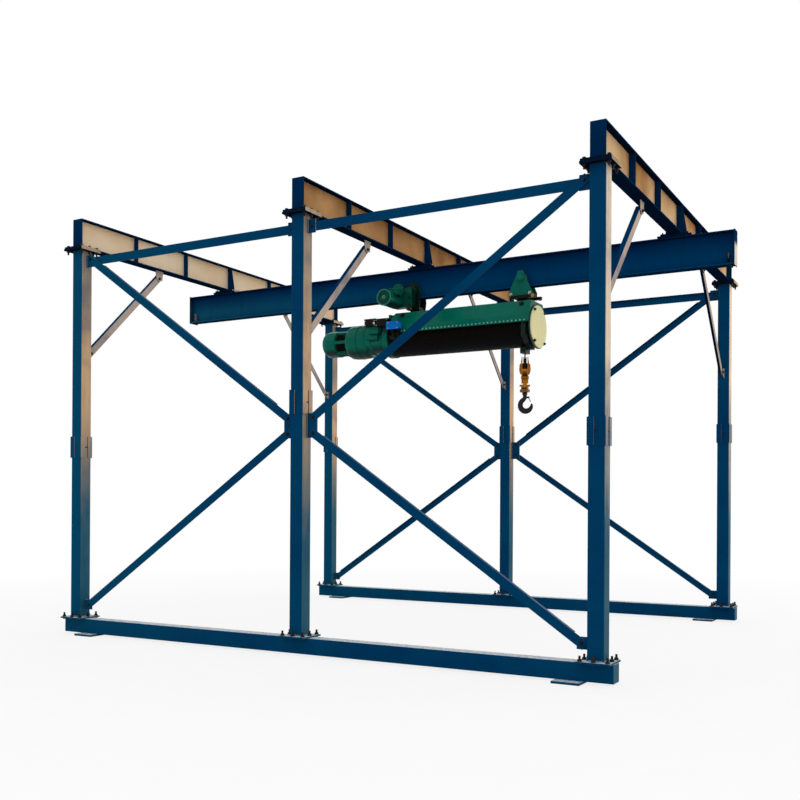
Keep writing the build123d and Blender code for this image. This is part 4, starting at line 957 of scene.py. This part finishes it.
FLANGES = ((-1.222, 0.222), (-0.862, 0.2105))
FLANGE_BOLTS = 8
flange_bolts = []
for x, radius in FLANGES:
    for k in range(FLANGE_BOLTS):
        a = 2 * math.pi * (k + 0.5) / FLANGE_BOLTS
        flange_bolts.append(((x, radius * math.cos(a), MOTOR_Z + radius * math.sin(a)), -X_AXIS))
bolt_set("motor_flange_bolts", flange_bolts, black_steel, *ON_HOIST, across=0.022, head=0.012, stud=0.006)

# %% Control box: lids, blank plate and screws
ON_BOX = ("hoist", "box_plastic")
LID_FACE_Y, SWITCH_FACE_Y = -0.407, -0.446
box_lid = bmesh.new()
slab(box_lid, (-0.780, -0.405, 4.488), (-0.582, -0.160, 4.506), 0.004)
slab(box_lid, (-0.768, LID_FACE_Y, 4.404), (-0.594, -0.400, 4.484), 0.002)
slab(box_lid, (-0.580, LID_FACE_Y, 4.394), (-0.388, -0.400, 4.486), 0.002)
make_piece("control_box_lids", box_lid, box_black, *ON_BOX)
plate = bmesh.new()
slab(plate, (-0.625, -0.410, 4.424), (-0.597, -0.406, 4.452), 0.001)
make_piece("blank_plate", plate, label_white, *ON_BOX)
screws = []
for y, corners_x, corners_z in (
    (LID_FACE_Y, (-0.758, -0.604), (4.412, 4.476)),
    (LID_FACE_Y, (-0.570, -0.398), (4.402, 4.478)),
    (SWITCH_FACE_Y, (-0.350, -0.200), (4.336, 4.412)),
):
    screws += [((x, y, z), -Y_AXIS) for x in corners_x for z in corners_z]
screw = bmesh.new()
raise_disc(screw, 10, 0.007, -0.001, 0.005, chamfer=0.0015)
make_piece("box_screws", copies(screw, screws), bright_steel, *ON_BOX)

# %% Bracket under the switch cover, and glands
BRACKET_Y, BRACKET_T = -0.352, 0.010
BRACKET_OUTLINE = (
    (-0.400, 4.330), (-0.400, 4.250), (-0.350, 4.180), (-0.230, 4.180), (-0.190, 4.230), (-0.190, 4.330)
)
BOSS_LINE = [(-0.040, 0.0), (-0.040, 0.026), (-0.034, 0.030), (0.0, 0.030), (0.0, 0.0)]
bracket = bmesh.new()
prism(bracket, [(x, BRACKET_Y, z) for x, z in BRACKET_OUTLINE], (0, BRACKET_T, 0), 0.002)
for x in (-0.385, -0.215):
    slab(bracket, (x - 0.005, -0.400, 4.240), (x + 0.005, -0.351, 4.318), 0.001)
lathe(bracket, BOSS_LINE, (-0.300, -0.351, 4.222), Y_AXIS, 18)
make_piece("switch_bracket", bracket, box_black, "hoist", "switch_plastic")

GLANDS = ((-0.520, -0.350, 4.384), (-0.450, -0.350, 4.384), (-0.300, -0.393, 4.316))
GLAND_L = 0.054
glands = bmesh.new()
for x, y, top in GLANDS:
    foot = top - GLAND_L
    line = [(foot, 0.0), (foot, 0.012), (foot + 0.016, 0.014), (foot + 0.020, 0.022)]
    line += [(top - 0.014, 0.022), (top - 0.012, 0.027), (top + 0.002, 0.027), (top + 0.002, 0.0)]
    lathe(glands, line, (x, y, 0), Z_AXIS, 12)
make_piece("box_glands", glands, box_black, *ON_BOX)

# %% [markdown]
# ## Trolleys
# The small motor that drives the trolley sits on the near side of the runway, with cooling fins and a
# fan cover of concentric rings. The fins are thin prisms turned round the motor, and the cover is one
# line spun about its axis, so its slots are real grooves.

# %% Fins and fan cover of the trolley motor
FINS, FIN_FOOT_R, FIN_OUT, FIN_HALF_T, FIN_TAPER = 22, 0.100, 0.012, 0.0025, 0.6
FIN_Y0, FIN_L = -0.480, 0.240
fins = bmesh.new()
for k in range(FINS):
    a = 2 * math.pi * k / FINS
    outward = Vector((math.cos(a), 0, math.sin(a)))
    across = Vector((-math.sin(a), 0, math.cos(a))) * FIN_HALF_T
    foot = Vector((FAN_X, FIN_Y0, FAN_Z)) + outward * FIN_FOOT_R
    tip = foot + outward * FIN_OUT
    thin = across * FIN_TAPER
    prism(fins, [foot - across, foot + across, tip + thin, tip - thin], (0, FIN_L, 0))
make_piece("trolley_motor_fins", fins, gear_green, *ON_HOIST)

FAN_AT = (FAN_X, -0.595, FAN_Z)
FAN_RIM, GRILLE_RINGS = 0.118, (0.086, 0.070, 0.054)
grille = bmesh.new()
line = [(0.0, FAN_RIM), (-0.006, 0.1185), (-0.010, 0.114), (-0.010, 0.104), (-0.004, 0.100)]
for r in GRILLE_RINGS:
    line += [(-0.004, r + 0.004), (-0.010, r + 0.002), (-0.010, r - 0.004), (-0.004, r - 0.006)]
line += [(-0.004, 0.034), (-0.014, 0.030), (-0.020, 0.022), (-0.022, 0.0)]
lathe(grille, line, FAN_AT, Y_AXIS, 40)
lathe(grille, [(0.003, 0.0), (0.003, FAN_RIM), (0.0, FAN_RIM)], FAN_AT, Y_AXIS, 40)
make_piece("fan_grille", grille, fan_green_highlit, *ON_HOIST)

# %% Lid and bolts of the trolley motor and its gear case
GEAR_FACE_Y, SIDE_PLATE_Y = -0.220, -0.110
GEAR_BOLTS_XZ = ((-0.395, 4.700), (-0.120, 4.700), (-0.120, 4.800), (-0.395, 4.860))
SIDE_PLATE_BOLTS_XZ = ((-0.150, 4.658), (-0.212, 4.662))
GEAR_COVER, GEAR_COVER_R, GEAR_COVER_BOLTS = (-0.300, -0.250, 4.919), 0.074, 6
lid = bmesh.new()
slab(lid, (-0.341, -0.448, 4.890), (-0.189, -0.306, 4.904), 0.004)
make_piece("terminal_lid", lid, hoist_green, *ON_HOIST)
gear_bolts = [((x, GEAR_FACE_Y, z), -Y_AXIS) for x, z in GEAR_BOLTS_XZ]
plate_bolts = [((x, SIDE_PLATE_Y, z), -Y_AXIS) for x, z in SIDE_PLATE_BOLTS_XZ]
cover_bolts = []
for k in range(GEAR_COVER_BOLTS):
    a = 2 * math.pi * k / GEAR_COVER_BOLTS
    round_cover = Vector((math.cos(a), 0, math.sin(a))) * GEAR_COVER_R
    cover_bolts.append((Vector(GEAR_COVER) + round_cover, -Y_AXIS))
bolt_set("gear_case_bolts", gear_bolts, black_steel, *ON_HOIST, across=0.024, head=0.010)
bolt_set("side_plate_bolts", plate_bolts, bronze, *ON_HOIST, across=0.030, head=0.014)
bolt_set("gear_cover_bolts", cover_bolts, hoist_green, *ON_HOIST, across=0.016, head=0.008, washer=0.002)

# %% [markdown]
# ### Undriven trolley and rope guide
# The undriven trolley is a pair of triangular plates with an axle at the top and bolts at the lower
# corners; its axle caps and bushes are spun. The rope guide hangs from the shell on a flat bar at
# each side, and two clamp plates close its box.

# %% Undriven trolley
DRIVE_X, IDLE_X = node_middle("driving_wheel_near")[0], node_middle("idle_wheel_near")[0]
AXLE_Z = node_middle("idle_wheel_near")[2]
PLATE_FACE_Y = 0.100
CORNER_X, CORNER_Z = (1.425, 1.705), 4.712
BUSH_X, BUSH_Y, BUSH_Z = 1.765, 0.128, 4.662
AXLE_CAP_LINE = [(-0.002, 0.0), (-0.002, 0.056), (0.012, 0.056), (0.016, 0.050), (0.016, 0.038)]
AXLE_CAP_LINE += [(0.030, 0.034), (0.034, 0.028), (0.034, 0.0)]
BUSH_LINE = [(-0.002, 0.0), (-0.002, 0.020), (0.004, 0.026), (0.018, 0.026), (0.022, 0.020), (0.022, 0.0)]
caps, bushes = bmesh.new(), bmesh.new()
corner_bolts = []
for side in (-1, 1):
    way = Y_AXIS * side
    for x in (IDLE_X,) if side < 0 else (DRIVE_X, IDLE_X):
        lathe(caps, AXLE_CAP_LINE, (x, side * PLATE_FACE_Y, AXLE_Z), way, 28)
    corner_bolts += [((x, side * PLATE_FACE_Y, CORNER_Z), way) for x in CORNER_X]
    lathe(bushes, BUSH_LINE, (BUSH_X, side * BUSH_Y, BUSH_Z), way, 24)
make_piece("axle_caps", caps, hoist_green, *ON_HOIST)
bolt_set("corner_bolts", corner_bolts, bright_steel, *ON_HOIST, across=0.034, head=0.016, stud=0.012)
make_piece("bar_bushes", bushes, bronze, "hoist", "wheel_steel")

# %% Rope guide: bars at its sides, clamp plates and bolts
ON_GUIDE = ("hoist", "guide_iron")
GUIDE_BAR_X, GUIDE_BAR_Y, GUIDE_BAR_Z = (1.662, 1.722), (0.284, 0.300), (4.085, 4.300)
CLAMP_X, CLAMP_Y, CLAMP_Z = (1.570, 1.630), (0.080, 0.088), (3.900, 3.964)
GUIDE_BOLT_X, GUIDE_BOLT_Z = 1.692, (4.110, 4.270)
CLAMP_BOLT_X, CLAMP_BOLT_Z = (1.582, 1.618), 3.932
bars = bmesh.new()
guide_bolts = []
for side in (-1, 1):
    for (x0, x1), ys, (z0, z1), bevel in (
        (GUIDE_BAR_X, GUIDE_BAR_Y, GUIDE_BAR_Z, 0.004),
        (CLAMP_X, CLAMP_Y, CLAMP_Z, 0.003),
    ):
        y0, y1 = sorted(side * y for y in ys)
        slab(bars, (x0, y0, z0), (x1, y1, z1), bevel)
    guide_bolts += [((GUIDE_BOLT_X, side * GUIDE_BAR_Y[1], z), Y_AXIS * side) for z in GUIDE_BOLT_Z]
    guide_bolts += [((x, side * CLAMP_Y[1], CLAMP_BOLT_Z), Y_AXIS * side) for x in CLAMP_BOLT_X]
make_piece("rope_guide_bars", bars, guide_iron, *ON_GUIDE)
bolt_set(
    "rope_guide_bolts", guide_bolts, black_steel, *ON_GUIDE,
    across=0.018, head=0.008, stud=0.004, washer=0.002,
)

# %% [markdown]
# ## Hook block
# The block hangs turned on its two falls of rope. Its falls are stranded: six lobes that turn as they
# run. The hub covers, the guard strip under the sheave and the bolts turn with the block.


# %% Rope falls
HOOK_X, _, SHEAVE_Z = node_middle("rope_sheave")
BLOCK_TURN = Matrix.Translation((HOOK_X, 0, 0)) @ Matrix.Rotation(math.radians(22), 4, "Z")
GROOVE_MID, FALL_R, FALL_TOP = 0.1225, 0.009, 3.894
LEAN = math.radians(20)
STRANDS, LAY, RING_STEP = 6, 0.110, 0.0016
LOBE_OUT, LOBE_SHRINK = 0.08, 0.06


def strand_ring(bm, matrix, radius):
    """A ring with one lobe for each strand."""
    verts = bmesh.ops.create_circle(bm, cap_ends=False, segments=4 * STRANDS, radius=radius)["verts"]
    for k, vert in enumerate(verts):
        vert.co *= 1.0 + LOBE_OUT * math.cos(2 * math.pi * k / 4) - LOBE_SHRINK
    bmesh.ops.transform(bm, matrix=matrix, verts=verts)
    return ring_edges(verts)


falls = bmesh.new()
for side in (-1, 1):
    start = Vector((0, side * GROOVE_MID * math.cos(LEAN), SHEAVE_Z + GROOVE_MID * math.sin(LEAN)))
    way = Vector((0, -side * math.sin(LEAN), math.cos(LEAN)))
    length = (FALL_TOP - start.z) / way.z
    count = int(length / RING_STEP)
    loops = []
    for k in range(count + 1):
        run = length * k / count
        twist = Matrix.Rotation(2 * math.pi * run / LAY, 4, "Z")
        loops.append(strand_ring(falls, BLOCK_TURN @ standing(start + way * run, way) @ twist, FALL_R))
    bridge_rings(falls, loops)
rope = make_piece("stranded_falls", falls, rope_brown, None, "rope_steel", 60)
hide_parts("rope_falls")
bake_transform(rope)

# %% Rope round the sheave
AROUND_SHEAVE = BLOCK_TURN @ Matrix.Translation((0, 0, SHEAVE_Z))
seat = bmesh.new()
first = Vector((0, GROOVE_MID * math.cos(LEAN), GROOVE_MID * math.sin(LEAN)))
place = standing(first, Vector((0, -math.sin(LEAN), math.cos(LEAN))))
section = bmesh.ops.create_circle(seat, cap_ends=False, segments=10, radius=FALL_R, matrix=place)["verts"]
sweep(seat, section, ring_edges(section), (0, 0, 0), -math.pi - 2 * LEAN, 40)
bmesh.ops.transform(seat, matrix=AROUND_SHEAVE, verts=seat.verts)
make_piece("sheave_rope", seat, rope_brown, "block", "rope_steel", 60)

# %% Hub covers
HUB_FACE_X, HUB_DROP, HUB_STRETCH = 0.047, 0.035, 1.2
HUB_LINE = [(-0.002, 0.0), (-0.002, 0.066), (0.004, 0.066), (0.010, 0.062), (0.020, 0.050)]
HUB_LINE += [(0.028, 0.034), (0.032, 0.016), (0.033, 0.0)]
hubs = bmesh.new()
for side in (-1, 1):
    lathe(hubs, HUB_LINE, Vector((side * HUB_FACE_X, 0, 0)), X_AXIS * side, 28)
stretched_up = Matrix.Translation((0, 0, SHEAVE_Z - HUB_DROP)) @ Matrix.Diagonal((1, 1, HUB_STRETCH, 1))
bmesh.ops.transform(hubs, matrix=BLOCK_TURN @ stretched_up, verts=hubs.verts)
# The hub covers take the darker crosshead brown, not the block's ochre: a painted shade.
make_piece("hub_covers", hubs, crosshead_brown, *ON_BLOCK)

# %% Guard strip, spacers and bolts of the block
CHEEK_GAP, GUARD_R0, GUARD_R1 = 0.0355, 0.138, 0.142
guard = bmesh.new()
strip = [(-CHEEK_GAP, GUARD_R0), (CHEEK_GAP, GUARD_R0), (CHEEK_GAP, GUARD_R1), (-CHEEK_GAP, GUARD_R1)]
verts = [guard.verts.new((x, r * math.cos(LEAN), -r * math.sin(LEAN))) for x, r in strip]
edges = [guard.edges.new((verts[k], verts[(k + 1) % 4])) for k in range(4)]
sweep(guard, verts, edges, (0, 0, 0), -math.pi + 2 * LEAN, 24)
bmesh.ops.transform(guard, matrix=AROUND_SHEAVE, verts=guard.verts)
make_piece("sheave_guard", guard, block_ochre, *ON_BLOCK)

spacer = bmesh.new()
slab(spacer, (-CHEEK_GAP, -0.058, 3.545), (CHEEK_GAP, 0.058, 3.573), 0.003)
slab(spacer, (-CHEEK_GAP, -0.036, 3.490), (CHEEK_GAP, 0.036, 3.546), 0.003)
bmesh.ops.transform(spacer, matrix=BLOCK_TURN, verts=spacer.verts)
make_piece("cheek_spacers", spacer, block_ochre, *ON_BLOCK)

CHEEK_BOLTS_YZ = ((-0.090, 3.775), (0.090, 3.775), (-0.060, 3.560), (0.060, 3.560))
cheek_bolts = [((s * HUB_FACE_X, y, z), X_AXIS * s) for s in (-1, 1) for y, z in CHEEK_BOLTS_YZ]
turned_bolts = copies(bolt_shape(across=0.022, head=0.005, washer=0.002), cheek_bolts)
bmesh.ops.transform(turned_bolts, matrix=BLOCK_TURN, verts=turned_bolts.verts)
make_piece("cheek_bolts", turned_bolts, black_steel, *ON_BLOCK)

# %% [markdown]
# ## Hook
# A forged hook is thick where it carries and thin at the tip. Rings are set along its centre line,
# each with its own width and depth, and bridged; the shank, its collar and its nut are spun. The
# imported hook is hidden, and this one stands for it. The packed hook stays for contact, and this
# one stands for it.

# %% Hook
RING_SIDES = 20
NECK_RINGS = (
    (1.600, 3.345, 0.029, 0.029, 0.0),
    (1.600, 3.322, 0.028, 0.027, 0.0),
    (1.601, 3.298, 0.028, 0.025, -0.04),
    (1.599, 3.275, 0.029, 0.025, -0.20),
)
BOWL_X, BOWL_Z, BOWL_R = 1.618, 3.179, 0.0845
BOWL_RINGS = (
    (112, 0.031, 0.026), (130, 0.033, 0.027), (150, 0.035, 0.028), (175, 0.037, 0.029), (200, 0.038, 0.029),
    (225, 0.039, 0.030), (250, 0.039, 0.030), (275, 0.038, 0.029), (300, 0.035, 0.028), (322, 0.030, 0.025),
    (340, 0.025, 0.022), (355, 0.019, 0.018), (366, 0.013, 0.013), (372, 0.006, 0.006),
)
SPLIT = 4
forged = bmesh.new()
rings = []
for x, z, half, thick, lean in NECK_RINGS:
    rings.append((standing((x, 0, z), (lean, 0, -1)), RING_SIDES, thick, half))
fine_rings = []
for first, second in zip(BOWL_RINGS, BOWL_RINGS[1:]):
    fine_rings += [[p + (q - p) * k / SPLIT for p, q in zip(first, second)] for k in range(SPLIT)]
for angle, half, thick in fine_rings + [BOWL_RINGS[-1]]:
    a = math.radians(angle)
    at = (BOWL_X + BOWL_R * math.cos(a), 0, BOWL_Z + BOWL_R * math.sin(a))
    rings.append((standing(at, (-math.sin(a), 0, math.cos(a))), RING_SIDES, thick, half))
tube(forged, rings)

# %% Shank, latch ears and latch pin of the hook
SHANK_LINE = [(3.318, 0.0), (3.318, 0.030), (3.326, 0.036), (3.350, 0.036), (3.353, 0.033), (3.353, 0.0215)]
SHANK_LINE += [(3.401, 0.0215), (3.401, 0.029), (3.416, 0.029), (3.418, 0.026), (3.418, 0.0)]
EAR_X, EAR_Y, EAR_Z = (1.605, 1.666), (0.012, 0.018), (3.272, 3.296)
PIN_AT = (1.654, 0, 3.284)
PIN_HALF = [(0.021, 0.0), (0.021, 0.007), (0.018, 0.008), (0.018, 0.005)]
lathe(forged, SHANK_LINE, (HOOK_X, 0, 0), Z_AXIS, 24)
for side in (-1, 1):
    y0, y1 = sorted(side * y for y in EAR_Y)
    slab(forged, (EAR_X[0], y0, EAR_Z[0]), (EAR_X[1], y1, EAR_Z[1]), 0.002)
pin_line = [(-along, radius) for along, radius in PIN_HALF] + PIN_HALF[::-1]
lathe(forged, pin_line, PIN_AT, Y_AXIS, 14)
hook_piece = make_piece("forged_hook", forged, hook_black, "hook", "hook_iron", 50)
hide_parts("load_hook")

# %% [markdown]
# ## Floor
# The object stands on a pale floor that fades into white. The white is given only to rays from the
# camera, from gloss and through glass, so it adds no light of its own to matt surfaces.


# %% Floor
FLOOR_HALF = 60.0
FADE_FROM, FADE_TO, NEAR_VEIL = 5.0, 14.0, 0.82
WHITE = (1.0, 1.0, 1.0, 1.0)


def plain_rays(tree):
    """One for rays from the camera, from gloss and through glass, nought for the light that fills."""
    paths = add_node(tree, "ShaderNodeLightPath").outputs
    seen = maths(tree, "MAXIMUM", paths["Is Camera Ray"], paths["Is Glossy Ray"])
    return maths(tree, "MAXIMUM", seen, paths["Is Transmission Ray"])


floor_bm = bmesh.new()
bmesh.ops.create_grid(floor_bm, x_segments=4, y_segments=4, size=FLOOR_HALF)
floor_mesh = bpy.data.meshes.new("floor")
floor_bm.to_mesh(floor_mesh)
floor_bm.free()
floor = bpy.data.objects.new("floor", floor_mesh)
scene.collection.objects.link(floor)

floor_finish = bpy.data.materials.new("floor_pale")
floor_finish.use_nodes = True
tree = floor_finish.node_tree
shader = tree.nodes["Principled BSDF"]
shader.inputs["Roughness"].default_value = 0.9
place = object_place(tree)
grain = ramp(tree, noise(tree, place, 3.0, 6.0), 0.3, 0.7)
repaint(tree, mix_colour(tree, grain, (0.80, 0.80, 0.80, 1), (0.86, 0.86, 0.855, 1)))
distance = add_node(tree, "ShaderNodeVectorMath", {0: place}, operation="LENGTH").outputs["Value"]
veil = ramp(tree, distance, FADE_FROM, FADE_TO, NEAR_VEIL, 1.0)
white = add_node(tree, "ShaderNodeEmission", {"Color": WHITE, "Strength": 1.0})
veiled = {0: times(tree, plain_rays(tree), veil), 1: shader.outputs[0], 2: white.outputs[0]}
both = add_node(tree, "ShaderNodeMixShader", veiled)
tree.links.new(both.outputs[0], tree.nodes["Material Output"].inputs["Surface"])
floor_mesh.materials.append(floor_finish)
print("floor", 2 * FLOOR_HALF, "m wide")

# %% [markdown]
# ## Background and light
# Daylight comes from a soft dome, brighter overhead, with one mild warm panel beyond the right-hand
# end, where the frame's faces with the painted sunlit sheen look. A sun would cast hard shadows that the
# photograph lacks.

# %% Background and light
DOME_LOW, DOME_LEVEL = (0.62, 0.63, 0.65, 1), 0.9
PANEL_SIZE, PANEL_LEVEL, PANEL_COLOUR = (14.0, 7.0), 2.0, (1.0, 0.90, 0.76)
PANEL_AT, PANEL_AIM = (16.0, 9.0, 5.5), (1.5, 0.0, 3.0)
world = bpy.data.worlds.new("daylight")
scene.world = world
world.use_nodes = True
tree = world.node_tree
tree.nodes.clear()
direction = add_node(tree, "ShaderNodeTexCoord").outputs["Generated"]
sky = mix_colour(tree, ramp(tree, split(tree, direction)["Z"], 0.0, 0.9), DOME_LOW, WHITE)
soft = add_node(tree, "ShaderNodeBackground", {"Color": sky, "Strength": DOME_LEVEL})
plain = add_node(tree, "ShaderNodeBackground", {"Color": WHITE, "Strength": 1.0})
chosen = {0: plain_rays(tree), 1: soft.outputs[0], 2: plain.outputs[0]}
output = add_node(tree, "ShaderNodeOutputWorld")
tree.links.new(add_node(tree, "ShaderNodeMixShader", chosen).outputs[0], output.inputs["Surface"])

panel_data = bpy.data.lights.new("warm_panel", "AREA")
panel_data.shape = "RECTANGLE"
panel_data.size, panel_data.size_y = PANEL_SIZE
panel_data.energy = PANEL_LEVEL * PANEL_SIZE[0] * PANEL_SIZE[1] * math.pi
panel_data.color = PANEL_COLOUR
panel = bpy.data.objects.new("warm_panel", panel_data)
scene.collection.objects.link(panel)
panel.location = PANEL_AT
panel.rotation_euler = (Vector(PANEL_AIM) - panel.location).to_track_quat("-Z", "Y").to_euler()
panel.visible_camera = False
print("panel power", round(panel_data.energy))
